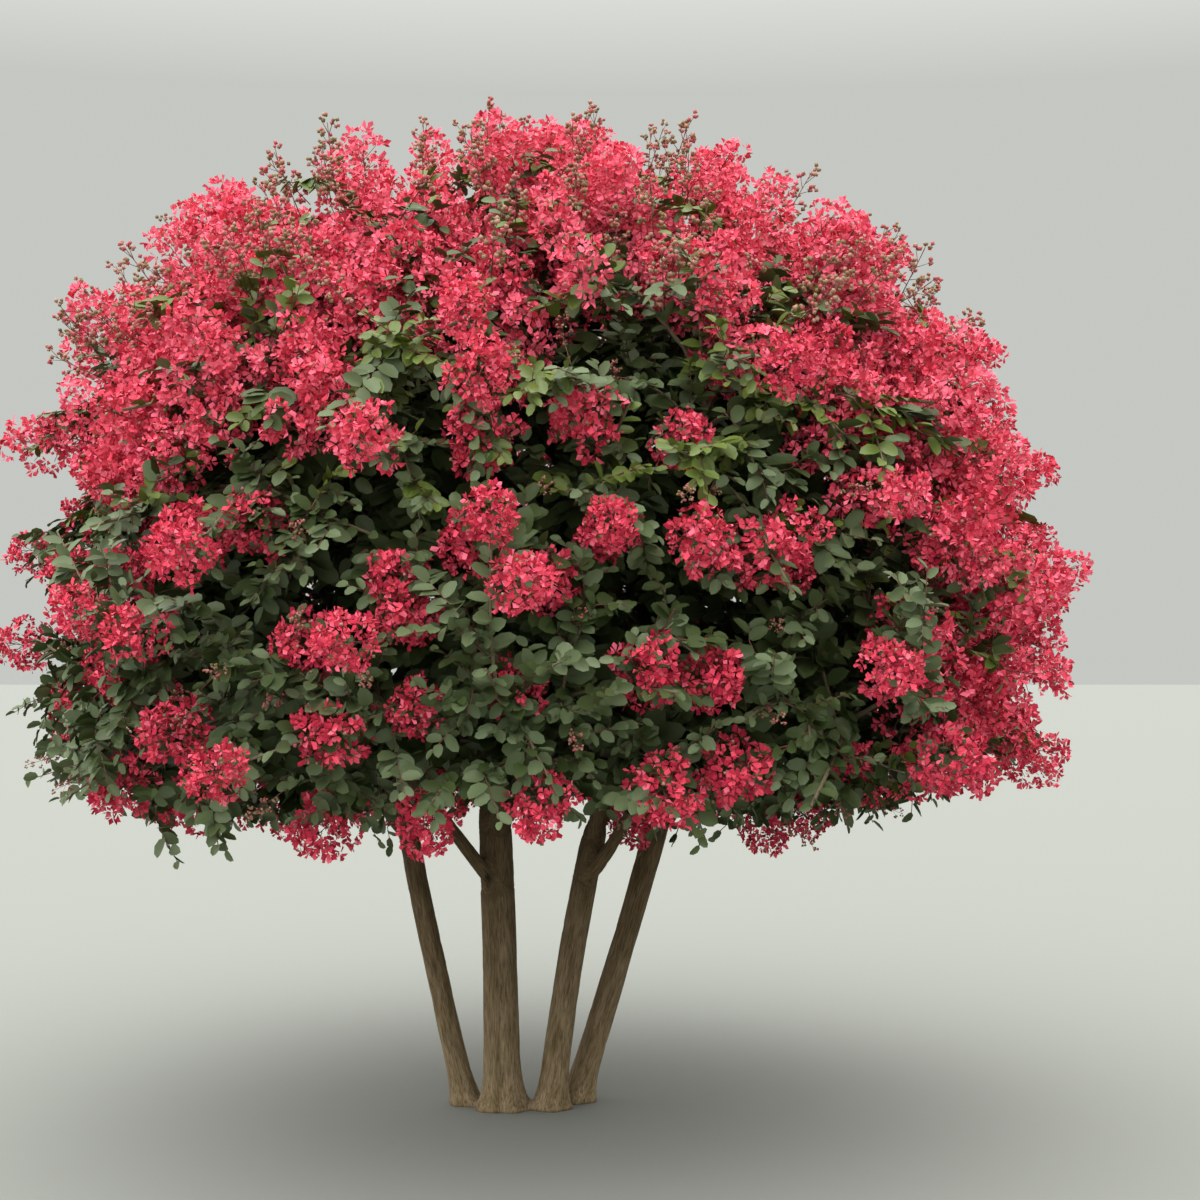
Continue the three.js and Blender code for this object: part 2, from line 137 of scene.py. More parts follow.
# Rose, red and crimson vary at random, and they also serve as painted light and shade.
PETALS = {
    "rose": plain_finish("petal_rose_crepe", "#f26d86", 0.75, **PETAL_SHEEN),
    "red": plain_finish("petal_red_crepe", "#e04b62", 0.75, **PETAL_SHEEN),
    "crimson": plain_finish("petal_crimson_crepe", "#ba2b46", 0.75, **PETAL_SHEEN),
}
BUDS = {
    "tan": plain_finish("bud_tan_husk", "#a8806c", 0.7),
    "olive": plain_finish("bud_olive_calyx", "#7d6a45", 0.7),
    "blush": plain_finish("bud_blush_red", "#b5525a", 0.6),
}
TWIG_BARK = plain_finish("twig_grey_brown_bark", "#6b5d48", 0.85)
SHOOT_BARK = plain_finish("shoot_red_brown_bark", "#6f4438", 0.7)
print("plain finishes:", len(LEAVES) + len(PETALS) + len(BUDS) + 2)

# %% [markdown]
# ## The camera
# It stands six metres in front of the stems at a standing person's eye height and looks level, a
# little to the right of the main stem, through a short telephoto lens. A level camera keeps the
# stems' lean true.

# %% The camera
CAMERA_PLACE = (0.296, -6.0, 1.55)
CAMERA_LENS = 59
SENSOR_WIDTH = 36

bpy.ops.object.camera_add(location=CAMERA_PLACE, rotation=(math.pi / 2, 0, 0))
camera = bpy.context.object
camera.data.sensor_width = SENSOR_WIDTH
camera.data.lens = CAMERA_LENS
bpy.context.scene.camera = camera
print("camera at", CAMERA_PLACE, "with a", CAMERA_LENS, "mm lens")

# %% [markdown]
# ## The crown's shape
# The crown is a dome on a short straight skirt, turned about an upright axis, with slow waves round
# it and a fuller shoulder high on its left. The same few sizes drive the coarse solids. Shoots grow
# away from a point inside it, its heart. The functions here take whole arrays, so that thousands of
# shoots are placed at once.

# %% The crown's shape
CROWN_AXIS = np.array([0.08, 0.0])
CROWN_RADIUS = 1.64
CROWN_TOP = 3.0
CROWN_WIDEST = 1.4
CROWN_HEM = 0.7
DOME_ROUNDNESS = 2.3
SKIRT_ROUNDNESS = 4
LOBES = [(3, 0.03, math.radians(-10)), (5, 0.02, math.radians(30))]
SHOULDER = {"azimuth": math.radians(195), "swell": 0.05, "from": 1.8, "full": 2.7}
UNDERSIDE = {"low": 0.74, "lift": 0.22, "lifted": math.radians(272), "power": 6}
UNDERSIDE_RISE = 0.32
RISES_WITHIN = 1.15
HEART = np.array([0.08, 0.0, 1.3])
SHORTEST = 1e-9


def unit(vectors):
    """Vectors of the same direction, one metre long."""
    return vectors / np.maximum(np.linalg.norm(vectors, axis=-1, keepdims=True), SHORTEST)


def eased(value, limits):
    """A share that eases from 0 to 1 between two limits."""
    share = np.clip((value - limits["from"]) / (limits["full"] - limits["from"]), 0, 1)
    return share**2 * (3 - 2 * share)


def crown_radius(height, azimuth):
    """How far the crown's skin stands from its axis."""
    over = height > CROWN_WIDEST
    rise = np.abs(height - CROWN_WIDEST) / np.where(over, CROWN_TOP - CROWN_WIDEST, CROWN_WIDEST - CROWN_HEM)
    profile = np.sqrt(np.maximum(0, 1 - rise ** np.where(over, DOME_ROUNDNESS, SKIRT_ROUNDNESS)))
    lobes = 1 + sum(swell * np.cos(count * (azimuth - turn)) for count, swell, turn in LOBES)
    facing = np.maximum(0, np.cos(azimuth - SHOULDER["azimuth"]))
    return CROWN_RADIUS * profile * lobes * (1 + SHOULDER["swell"] * facing * eased(height, SHOULDER))


def underside_height(azimuth, out):
    """Height of the crown's underside, lifted at the front and rising towards the stems."""
    rise = UNDERSIDE_RISE * np.maximum(0, 1 - out / RISES_WITHIN)
    facing = (1 + np.cos(azimuth - UNDERSIDE["lifted"])) / 2
    return UNDERSIDE["low"] + UNDERSIDE["lift"] * facing ** UNDERSIDE["power"] + rise


def around_axis(azimuth, out, height):
    """The point at an azimuth, a distance from the crown's axis, and a height."""
    x = CROWN_AXIS[0] + out * np.cos(azimuth)
    y = CROWN_AXIS[1] + out * np.sin(azimuth)
    return np.stack(np.broadcast_arrays(x, y, height), axis=-1)


def azimuth_of(points):
    """The azimuth at which points lie round the crown's axis."""
    return np.arctan2(points[..., 1] - CROWN_AXIS[1], points[..., 0] - CROWN_AXIS[0])


print("crown radius at 1.4 m and 2.6 m:", np.round(crown_radius(np.array([1.4, 2.6]), 0.0), 2))

# %% [markdown]
# ## Where the limbs run
# A limb follows a smooth curve that a few control points pull into shape. One function finds points
# on such a curve by drawing the control points together again and again, which works for any number
# of them and for many curves at once. The stems bow a little as they lean out. Each bough leaves its
# stem along the stem's own direction, swings outwards and arrives in line with the mass it carries.


# %% Where the limbs run
def named_rows(names, rows):
    """Rows of a table, with a name for each value."""
    return {title: dict(zip(names, row)) for title, row in rows.items()}


STEMS = named_rows(
    ("foot", "top", "radius", "bow", "folds"),
    {
        "middle": ((0, 0), (-0.026, -0.062, 1.0), (0.051, 0.044), (0.004, 0), (0.11, 0.16)),
        "left": ((-0.114, 0.058), (-0.32, 0.116, 0.94), (0.035, 0.031), (-0.008, 0.004), (0.04, 0.05)),
        "near_right": ((0.146, 0.006), (0.292, -0.042, 0.9), (0.04, 0.037), (-0.014, -0.004), (0.05, 0.06)),
        "far_right": ((0.22, 0.096), (0.518, 0.168, 1.0), (0.04, 0.035), (0.006, 0.004), (0.05, 0.04)),
    },
)
RINGS = named_rows(
    ("out", "height", "first", "tip_out", "tip_height", "leaves", "spread", "bough_radius"),
    {
        "low": (1.11, 1.21, 270, 0.66, 1.15, 0.86, 1.0, (0.022, 0.012)),
        "upper": (0.96, 1.99, 0, 0.59, 1.74, 0.9, 0.42, (0.028, 0.012)),
        "top": (0.4, 2.48, 60, 0.27, 2.04, 0.94, 0.12, (0.027, 0.012)),
    },
)
CARRIED_BY = {
    "low": {
        "front": "middle", "front_right": "near_right", "right": "far_right", "back_right": "far_right",
        "back_left": "left", "left": "left", "front_left": "middle",
    },
    "upper": {
        "right": "far_right", "back_right": "far_right", "back_left": "left",
        "left": "left", "front_left": "middle", "front_right": "near_right",
    },
    "top": {
        "back_right": "far_right", "back_left": "left",
        "front_left": "middle", "front_right": "near_right",
    },
}
BOUGH_SETS_OFF = 0.36
BOUGH_ARRIVES = 0.3
NEXT_BOUGH_HIGHER = 0.012
HIGHEST_BOUGH = 0.99
EARLY_BOUGHS = {"low_front_left": 0.68, "low_front_right": 0.78}


def between(low_high, share):
    """The value at a share of the way from the first to the second."""
    return low_high[0] + (low_high[1] - low_high[0]) * share


def on_curve(control, share):
    """Points at shares from 0 to 1 of a curve, or of many curves, with these control points."""
    rows = [np.asarray(point, float)[..., None, :] for point in control]
    share = np.asarray(share, float)[..., None]
    while len(rows) > 1:
        rows = [between(pair, share) for pair in zip(rows, rows[1:])]
    return rows[0]


def along_curve(control, share):
    """The directions in which curves run at shares of their length."""
    steps = [np.asarray(ahead, float) - np.asarray(here, float) for here, ahead in zip(control, control[1:])]
    return unit(on_curve(steps, share))


def stem_control(stem):
    """Control points of a stem, from its foot to its top."""
    foot = np.array([*stem["foot"], 0.0])
    top = np.array(stem["top"])
    middle = (foot + top) / 2 + np.array([*stem["bow"], 0.0])
    return [foot, 2 * middle - (foot + top) / 2, top]


def bough_control(mass):
    """Control points of the bough that carries a mass."""
    path = stem_control(STEMS[mass["stem"]])
    start = on_curve(path, [mass["leaves"]])[0]
    reach = mass["tip"] - start
    outwards = unit(reach * np.array([1, 1, 0]))
    sets_off = unit(along_curve(path, [mass["leaves"]])[0] + outwards * mass["spread"])
    arrives = unit(mass["centre"] - mass["tip"])
    length = np.linalg.norm(reach)
    knee = start + sets_off * length * BOUGH_SETS_OFF
    return [start, knee, mass["tip"] - arrives * length * BOUGH_ARRIVES, mass["tip"]]


def list_masses():
    """The seventeen masses, each with its centre, its stem and its bough."""
    masses = []
    carried = {stem: 0 for stem in STEMS}
    for ring, places in CARRIED_BY.items():
        sizes = RINGS[ring]
        for i, (place, stem) in enumerate(places.items()):
            azimuth = math.radians(sizes["first"]) + i * 2 * math.pi / len(places)
            in_turn = min(HIGHEST_BOUGH, sizes["leaves"] + NEXT_BOUGH_HIGHER * carried[stem])
            mass = {**sizes, "name": f"{ring}_{place}", "ring": ring, "stem": stem}
            mass["leaves"] = EARLY_BOUGHS.get(mass["name"], in_turn)
            mass["centre"] = around_axis(azimuth, sizes["out"], sizes["height"])
            mass["tip"] = around_axis(azimuth, sizes["tip_out"], sizes["tip_height"])
            mass["bough"] = bough_control(mass)
            carried[stem] += 1
            masses.append(mass)
    return masses


masses = list_masses()
print("masses:", len(masses), "each on its bough")

# %% [markdown]
# ## A bar for the limbs
# Wood this smooth is best made as one skin. Each limb starts as a straight bar: a filled ring that
# is extruded upwards step by step in edit mode, as many times as the limb has sections. The bar is
# modelled once for the stems and once for the boughs, and copied for each limb.


# %% A bar for the limbs
def deselect_all():
    """Leaves object mode with nothing selected, so that the next operator acts on its own piece only."""
    if bpy.context.object and bpy.context.object.mode != "OBJECT":
        bpy.ops.object.mode_set(mode="OBJECT")
    bpy.ops.object.select_all(action="DESELECT")


def straight_bar(name, sides, sections):
    """A closed bar one metre tall and one metre in radius, cut into level sections."""
    deselect_all()
    bpy.ops.mesh.primitive_circle_add(vertices=sides, radius=1, fill_type="NGON", location=(0, 0, 0))
    bar = bpy.context.object
    bar.name = name
    bpy.ops.object.mode_set(mode="EDIT")
    for _ in range(sections):
        bpy.ops.mesh.extrude_region_move(TRANSFORM_OT_translate={"value": (0, 0, 1 / sections)})
    bpy.ops.mesh.select_all(action="SELECT")
    bpy.ops.mesh.normals_make_consistent(inside=False)
    bpy.ops.object.mode_set(mode="OBJECT")
    return bar


def vectors_of(items, key):
    """A vector of every item of a mesh, such as its vertices' places, as an array."""
    values = np.empty(len(items) * 3, np.float32)
    items.foreach_get(key, values)
    return values.reshape(-1, 3).astype(float)


def move_points(piece, points):
    """Gives a piece's vertices new places."""
    piece.data.vertices.foreach_set("co", points.astype(np.float32).ravel())
    piece.data.update()


def copy_of(piece, name):
    """A copy of a piece with its own mesh."""
    copy = piece.copy()
    copy.data = piece.data.copy()
    copy.name = name
    bpy.context.collection.objects.link(copy)
    return copy


stem_bar = straight_bar("stem_bar", sides=40, sections=26)
bough_bar = straight_bar("bough_bar", sides=16, sections=22)
print("bars:", len(stem_bar.data.polygons), "and", len(bough_bar.data.polygons), "faces")

# %% [markdown]
# ## Bending the bars into stems and boughs
# A crape myrtle stem is folded like muscle: its section is oval, with a long groove down the front
# and back, and it swells where it enters the ground. A bough is rounder, with a collar where it
# leaves its stem. Both follow from one rule: a vertex keeps its turn round the bar, goes to the
# curve's point at its share of the length, and steps out by a radius that depends on both.

# %% Bending the bars into stems and boughs
FLARE_SWELL = 0.62
FLARE_HEIGHT = 0.048
ROOT_RIDGES = 5
ROOT_RIDGE_SWELL = 0.16
ROOT_RIDGE_SHIFT = 9
GROOVE_POWER = 6
STEM_TIP_TAPER = 0.12
STEM_TIP_NARROWS = 0.75
COLLAR_SWELL = 0.32
COLLAR_SHARE = 0.09
EMERGES_BY = 0.1
EMERGES_FROM = 0.15
STEM_ACROSS = np.array([1.0, 0, 0])


def bough_across(mass):
    """The level direction across a bough."""
    reach = mass["bough"][-1] - mass["bough"][0]
    return unit(np.array([-reach[1], reach[0], 0.0]))


def bend_bar(bar, control, radius_at, across, level=False):
    """Moves the vertices of a straight bar so that it follows a curve, with level or square sections."""
    points = vectors_of(bar.data.vertices, "co")
    share = np.clip(points[:, 2], 0, 1)
    turn = np.arctan2(points[:, 1], points[:, 0])
    inside = np.hypot(points[:, 0], points[:, 1]) * radius_at(share, turn)
    along = along_curve(control, share)
    if level:
        along = np.tile([0.0, 0.0, 1.0], (len(points), 1))
    side = unit(across - along * (along @ across)[:, None])
    back = np.cross(along, side)
    offset = side * (np.cos(turn) * inside)[:, None] + back * (np.sin(turn) * inside)[:, None]
    move_points(bar, on_curve(control, share) + offset)


def make_stem(name, stem):
    """One stem with its flare, folds and grooves, rounded off where its boughs take over."""
    fold, groove = stem["folds"]

    def radius_at(share, turn):
        ridges = 1 + ROOT_RIDGE_SWELL * np.cos(ROOT_RIDGES * turn + ROOT_RIDGE_SHIFT * stem["foot"][0])
        flare = 1 + FLARE_SWELL * ridges * np.exp(-share * stem["top"][2] / FLARE_HEIGHT)
        folded = 1 + fold * np.cos(2 * turn)
        grooved = 1 - groove * np.maximum(0, -np.cos(2 * turn)) ** GROOVE_POWER
        past = np.clip((share - 1 + STEM_TIP_TAPER) / STEM_TIP_TAPER, 0, 1)
        rounded_off = np.sqrt(1 - STEM_TIP_NARROWS * past**2)
        return between(stem["radius"], share) * flare * folded * grooved * rounded_off

    piece = copy_of(stem_bar, f"shape_stem_{name}")
    bend_bar(piece, stem_control(stem), radius_at, STEM_ACROSS, level=True)
    return piece


def make_bough(mass):
    """One bough, thickest at the collar where it leaves its stem."""

    def radius_at(share, turn):
        collar = 1 + COLLAR_SWELL * np.exp(-share / COLLAR_SHARE)
        emerging = np.clip(share / EMERGES_BY, 0, 1)
        emerged = np.sqrt(EMERGES_FROM + (1 - EMERGES_FROM) * emerging * (2 - emerging))
        return between(mass["bough_radius"], share) * collar * emerged

    piece = copy_of(bough_bar, f"shape_bough_{mass['name']}")
    bend_bar(piece, mass["bough"], radius_at, bough_across(mass))
    return piece


limb_shapes = [make_stem(name, stem) for name, stem in STEMS.items()]
limb_shapes += [make_bough(mass) for mass in masses]
for bar in (stem_bar, bough_bar):
    bpy.data.objects.remove(bar)
print("limbs bent:", len(limb_shapes))

# %% [markdown]
# ## One skin of bark
# Where two limbs meet, the bark runs from one to the other in a smooth crotch. Joining the limbs and
# remeshing them with voxels of a few millimetres melts them into one closed skin, and a little
# smoothing rounds the crotches.

# %% One skin of bark
SKIN_VOXEL = 0.0055
SKIN_SMOOTHING = {"factor": 0.5, "iterations": 5}


def apply_modifier(piece, kind, **settings):
    """Adds a modifier to a piece, sets it and applies it."""
    bpy.context.view_layer.objects.active = piece
    bpy.ops.object.modifier_add(type=kind)
    modifier = piece.modifiers[-1]
    for name, value in settings.items():
        setattr(modifier, name, value)
    bpy.ops.object.modifier_apply(modifier=modifier.name)


deselect_all()
for shape in limb_shapes:
    shape.select_set(True)
bpy.context.view_layer.objects.active = limb_shapes[0]
bpy.ops.object.join()
bark_skin = bpy.context.object
bark_skin.name = "bark"
bark_skin.data.name = "bark"
apply_modifier(bark_skin, "REMESH", mode="VOXEL", voxel_size=SKIN_VOXEL)
apply_modifier(bark_skin, "SMOOTH", **SKIN_SMOOTHING)
print("skin:", len(bark_skin.data.vertices), "vertices")

# %% [markdown]
# ## The lie of the grain
# Bark splits along the limb, so its pattern needs to know which way each limb runs. For every vertex
# the nearest point of a limb's axis is looked up in a tree of sample points. The vertex's grain
# coordinate is its offset across the limb, and its way along the limb. It is kept on the mesh as an
# attribute, for the relief here and for the finish after it.

# %% The lie of the grain
from mathutils import Vector, kdtree, noise

AXIS_SAMPLES = 90


def limb_axes():
    """Sample points along every limb: place, direction, across direction, and way along the limb."""
    rows = []
    curves = [(stem_control(stem), STEM_ACROSS) for stem in STEMS.values()]
    curves += [(mass["bough"], bough_across(mass)) for mass in masses]
    share = np.linspace(0, 1, AXIS_SAMPLES)
    for number, (control, across) in enumerate(curves):
        place = on_curve(control, share)
        along = along_curve(control, share)
        side = unit(across - along * (along @ across)[:, None])
        steps = np.linalg.norm(np.diff(place, axis=0), axis=1)
        way = np.concatenate([[0], np.cumsum(steps)]) + number
        rows.append(np.hstack([place, along, side, way[:, None]]))
    return np.vstack(rows)


axes = limb_axes()
axis_tree = kdtree.KDTree(len(axes))
for number, row in enumerate(axes):
    axis_tree.insert(row[:3], number)
axis_tree.balance()


def grain_of(points):
    """Each point's grain coordinate: two offsets across its limb and its way along it."""
    nearest = axes[[axis_tree.find(point)[1] for point in points]]
    offset = points - nearest[:, :3]
    side = nearest[:, 6:9]
    back = np.cross(nearest[:, 3:6], side)
    ahead = (offset * nearest[:, 3:6]).sum(1)
    return np.stack([(offset * side).sum(1), (offset * back).sum(1), nearest[:, 9] + ahead], axis=1)


grain = grain_of(vectors_of(bark_skin.data.vertices, "co"))
print("grain of", len(grain), "vertices, ways up to", round(grain[:, 2].max(), 2), "m")

# %% [markdown]
# ## Relief of the bark
# Smooth bark still has a surface. Broad flutes a few centimetres wide run up each stem, with shallow
# fissures between them a centimetre apart, and an old knot sits as a hollow on the front of the main
# stem. Noise that is squeezed across the limb and stretched along it gives both, and each vertex is
# moved in or out along its normal by the sum. The cut at the ground stays flat.

# %% Relief of the bark
FLUTE_WIDTH = 0.034
FLUTE_DEPTH = 0.0032
FISSURE_WIDTH = 0.011
FISSURE_DEPTH = 0.0017
FISSURE_SHARPNESS = 4
FISSURE_SHIFT = 5
GRAIN_STRETCH = 9
KNOT_PLACE = np.array([-0.038, -0.085, 0.71])
KNOT_SIZE = np.array([0.012, 0.03, 0.019])
KNOT_DEPTH = 0.012
GROUND_CUT = 0.004


def grain_noise(grain, width):
    """Noise of a given width across the limb, stretched along it."""
    scaled = grain / np.array([width, width, width * GRAIN_STRETCH])
    return np.array([noise.noise(Vector(row)) for row in scaled])


def relieve_bark(piece, grain):
    """Carves flutes, fissures and the knot, and returns how deep each vertex lies in the knot."""
    points = vectors_of(piece.data.vertices, "co")
    relief = FLUTE_DEPTH * grain_noise(grain, FLUTE_WIDTH)
    fissures = np.abs(grain_noise(grain + FISSURE_SHIFT, FISSURE_WIDTH))
    relief -= FISSURE_DEPTH * np.maximum(0, 1 - FISSURE_SHARPNESS * fissures)
    hollow = np.exp(-(((points - KNOT_PLACE) / KNOT_SIZE) ** 2).sum(1))
    relief -= KNOT_DEPTH * hollow
    moved = points + vectors_of(piece.data.vertex_normals, "vector") * relief[:, None]
    moved[:, 2] = np.where(points[:, 2] < GROUND_CUT, 0.0, moved[:, 2])
    move_points(piece, moved)
    return hollow


hollow = relieve_bark(bark_skin, grain)
layers = (("grain", "FLOAT_VECTOR", "vector", grain), ("hollow", "FLOAT", "value", hollow))
for name, kind, key, values in layers:
    layer = bark_skin.data.attributes.new(name, kind, "POINT")
    layer.data.foreach_set(key, values.astype(np.float32).ravel())
print("relief carved; deepest in the knot:", round(KNOT_DEPTH * hollow.max() * 1000, 1), "mm")

# %% [markdown]
# ## The bark's finish
# Old crape myrtle bark is thin and dry, a grey brown with warmer and greyer streaks along the limb
# and darker lines in the fissures. The streaks are noise on the grain coordinate, three centimetres
# wide, and the fine lines over them are four millimetres wide. The lines also dent the surface, and
# the knot's hollow is painted nearly black, as painted shade. The bark is painted lighter at the foot
# of the stems and darker on its way up, as painted shade of the crown. In the end three faces in ten
# are enough to hold the relief.

# %% The bark's finish
MIX_FIRST = 6
MIX_SECOND = 7
MIX_RESULT = 2
STREAKS = {"width": 0.03, "stretch": 5, "detail": 3}
LINES = {"width": 0.004, "stretch": 12, "detail": 5}
STREAK_COLOURS = [(0.3, "#8b7a59"), (0.5, "#a39176"), (0.68, "#b3a187")]
LINE_COLOURS = [(0.34, "#7b705e"), (0.5, "#cbc3b5"), (0.66, "#f0e9dc")]
# Painted shade: the bark is left light at the foot and darkened towards the crown.
PAINTED_SHADE_BY_HEIGHT = [(0.08, "#ffffff"), (0.9, "#a0978a")]
LINES_SHOW = 0.85
PATTERN_ROUGHNESS = 0.6
# Painted shade in the knot's hollow.
KNOT_PAINTED_SHADE = "#17120d"
LINES_DENT = {"Strength": 0.7, "Distance": 0.004}
DRY_BARK_GLOSS = {"Roughness": 0.86, "Specular IOR Level": 0.25}
SKIN_KEPT = 0.3


def dry_bark():
    """Thin dry bark with streaks and fissures that run along the limb."""
    material = new_material("bark_dry_grey_brown")
    grain = add_node(material, "Attribute", {"attribute_name": "grain"}).outputs["Vector"]
    hollow = add_node(material, "Attribute", {"attribute_name": "hollow"}).outputs["Fac"]
    place = add_node(material, "TexCoord").outputs["Object"]
    height = add_node(material, "SeparateXYZ", links={"Vector": place}).outputs["Z"]

    def pattern(width, stretch, detail):
        scale = (1 / width, 1 / width, 1 / width / stretch)
        along = add_node(material, "Mapping", inputs={"Scale": scale}, links={"Vector": grain})
        inputs = {"Scale": 1.0, "Detail": detail, "Roughness": PATTERN_ROUGHNESS}
        links = {"Vector": along.outputs["Vector"]}
        return add_node(material, "TexNoise", inputs=inputs, links=links).outputs["Fac"]

    def ramp(source, stops):
        return add_node(material, "ValToRGB", links={"Fac": source}, stops=stops).outputs["Color"]

    def multiplied(first, second, factor):
        settings = {"data_type": "RGBA", "blend_type": "MULTIPLY"}
        links = {MIX_FIRST: first, MIX_SECOND: second}
        return add_node(material, "Mix", settings, {"Factor": factor}, links).outputs[MIX_RESULT]

    fine = pattern(**LINES)
    streaked = ramp(pattern(**STREAKS), STREAK_COLOURS)
    lined = multiplied(streaked, ramp(fine, LINE_COLOURS), LINES_SHOW)
    # Painted shade: darker with height, towards the crown's shade.
    shaded = multiplied(lined, ramp(height, PAINTED_SHADE_BY_HEIGHT), 1.0)
    # The knot's hollow is painted nearly black, as painted shade.
    knot = {"Factor": hollow, MIX_FIRST: shaded}
    dark = {MIX_SECOND: linear(KNOT_PAINTED_SHADE)}
    coloured = add_node(material, "Mix", {"data_type": "RGBA"}, dark, knot).outputs[MIX_RESULT]
    dented = add_node(material, "Bump", inputs=LINES_DENT, links={"Height": fine}).outputs["Normal"]
    return add_surface(material, DRY_BARK_GLOSS, {"Base Color": coloured, "Normal": dented})


bark_skin.data.materials.clear()
bark_skin.data.materials.append(dry_bark())
bark_skin.data.shade_smooth()
apply_modifier(bark_skin, "DECIMATE", ratio=SKIN_KEPT)
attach(bark_skin, "root")
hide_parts(*(f"stem_{name}" for name in STEMS), *(f"bough_{mass['name']}" for mass in masses))
print("bark:", sum(len(p.vertices) - 2 for p in bark_skin.data.polygons), "triangles")

# %% [markdown]
# ## Where the shoots end
# Every shoot's tip is dealt over the crown by one rule: two steps that never repeat set its height
# and its azimuth, so that tips fall evenly and never side by side. The first hundred and twenty-five
# are the shoots of the coarse solids. The rule then goes on to the fine shoots between them, half of
# them at the skin and half deeper in, where the crown is dark. A slow ripple lets clumps of shoots
# stand proud of their neighbours.

# %% Where the shoots end
COARSE_TIPS = 125
TIP_COUNT = 5300
STEP_UP = 0.7548776662466927
STEP_ROUND = 0.5698402909980532
LEADERS = np.array([[-30, 2.988], [0, 1.42], [92, 1.44], [184, 1.42], [268, 1.4]])
COARSE_INNER_EVERY = 6
INNER_EVERY = 20
INNER_AT = [1, 3, 5, 7, 9, 11, 12, 13, 15, 18]
COARSE_ABOVE_HEM = 0.09
FINE_ABOVE_HEM = -0.02
HEM_DROOPS = 0.12
SCATTER_ROUND = 0.05
SCATTER_UP = 0.04
BELOW_TOP = 0.004
CLUMP_WIDTH = 0.26
CLUMP_RISES = (0.12, 0.44)
SEED = 20

numbers = np.arange(TIP_COUNT)
dice = np.random.default_rng(SEED)


def set_back(points):
    """How far clumps of shoots stand back from the skin, from 0 to 1."""
    wave = np.array([noise.noise(Vector(point)) for point in points / CLUMP_WIDTH])
    return 1 - np.interp(wave, CLUMP_RISES, [0, 1])


def deal_tips():
    """Azimuth and height of every shoot's tip on the crown's skin."""
    up = (0.5 + numbers * STEP_UP) % 1
    azimuth = ((0.5 + numbers * STEP_ROUND) % 1) * 2 * math.pi
    scatter = dice.uniform(-1, 1, (2, TIP_COUNT)) * ~coarse
    azimuth += scatter[0] * SCATTER_ROUND
    droops = HEM_DROOPS * (1 - set_back(around_axis(azimuth, CROWN_RADIUS, 0)))
    above_hem = np.where(coarse, COARSE_ABOVE_HEM, FINE_ABOVE_HEM - droops)
    hem = underside_height(azimuth, CROWN_RADIUS) + above_hem
    height = hem + (CROWN_TOP - hem) * up + scatter[1] * SCATTER_UP
    height = np.minimum(height, CROWN_TOP - BELOW_TOP)
    azimuth[: len(LEADERS)] = np.radians(LEADERS[:, 0])
    height[: len(LEADERS)] = LEADERS[:, 1]
    return azimuth, height


coarse = numbers < COARSE_TIPS
tip_azimuth, tip_height = deal_tips()
skin = around_axis(tip_azimuth, crown_radius(tip_height, tip_azimuth), tip_height)
coarse_inner = (numbers % COARSE_INNER_EVERY == 0) & (numbers >= len(LEADERS))
inner = np.where(coarse, coarse_inner, np.isin(numbers % INNER_EVERY, INNER_AT))
print("tips:", TIP_COUNT, "of them", int(inner.sum()), "inside the crown")

# %% [markdown]
# ## What each shoot bears
# A shoot ends in leaves, in a panicle of flowers or in a panicle still in bud. Flowers open above a
# line that is high on the shaded front and low on the sunny right. Of the shoots at the skin a third
# flower just above that line, and six in seven further up. Below it only evenly spaced strays
# flower. Heads of buds stand among the highest flowers, and a few small ones among the leaves. A
# flowering shoot stops further in than a leafy one, because its panicle fills the rest of the way.

# %% What each shoot bears
BLOOM_LINE = 1.88
BLOOM_LATE = {"by": 0.45, "azimuth": math.radians(277), "power": 8}
BLOOM_EARLY = {"by": 0.9, "from": 0.58, "full": 0.84}
BLOOM_SHARE = (0.34, 0.86)
BLOOM_THINS_OVER = 0.45
STRAY_EVERY = 20
STRAY_AT = 6
STRAY_SHARE = 0.92
STRAY_ABOVE_HEM = -0.08
COARSE_STRAYS = 0.24
BUDS_ABOVE = 2.3
BUDS_EVERY = 10
BUDS_AT = [0, 6]
BUDS_SHARE = 0.55
LEAFY_BUDS_AT = 16
LEAFY_BUDS_SHARE = 0.6
COARSE_INSET = 0.172
COARSE_INNER_INSET = 0.5
INNER_INSET = (0.2, 0.95)
LEAFY_INSET = (0.05, 0.17)
BLOOM_INSET = (0.15, 0.22)
BUD_INSET = (0.11, 0.19)
CLUMP_DEPTH = 0.2
LEADER_SHARE = 0.025
LEADER_RISE = 0.16


def first_chance(number):
    """The first random number of a shoot, from 0 to 1, the same one that its coarse solid draws."""
    with np.errstate(over="ignore"):
        state = (SEED + number).astype(np.uint32) + np.uint32(0x6D2B79F5)
        mixed = (state ^ (state >> np.uint32(15))) * (state | np.uint32(1))
        mixed = mixed ^ (mixed + (mixed ^ (mixed >> np.uint32(7))) * (mixed | np.uint32(61)))
    return (mixed ^ (mixed >> np.uint32(14))) / 2**32


def blooms_early_by(azimuth):
    """How much lower the shoots already flower on the sunny right."""
    return BLOOM_EARLY["by"] * eased(np.cos(azimuth), BLOOM_EARLY)


def above_bloom_line(points):
    """Metres above the height where shoots flower, which is late at the shaded front."""
    azimuth = azimuth_of(points)
    shaded = np.maximum(0, np.cos(azimuth - BLOOM_LATE["azimuth"])) ** BLOOM_LATE["power"]
    return points[:, 2] - (BLOOM_LINE + BLOOM_LATE["by"] * shaded - blooms_early_by(azimuth))


def inwards(points, inset):
    """Points moved towards the crown's heart."""
    return points + unit(HEART - points) * np.asarray(inset)[..., None]


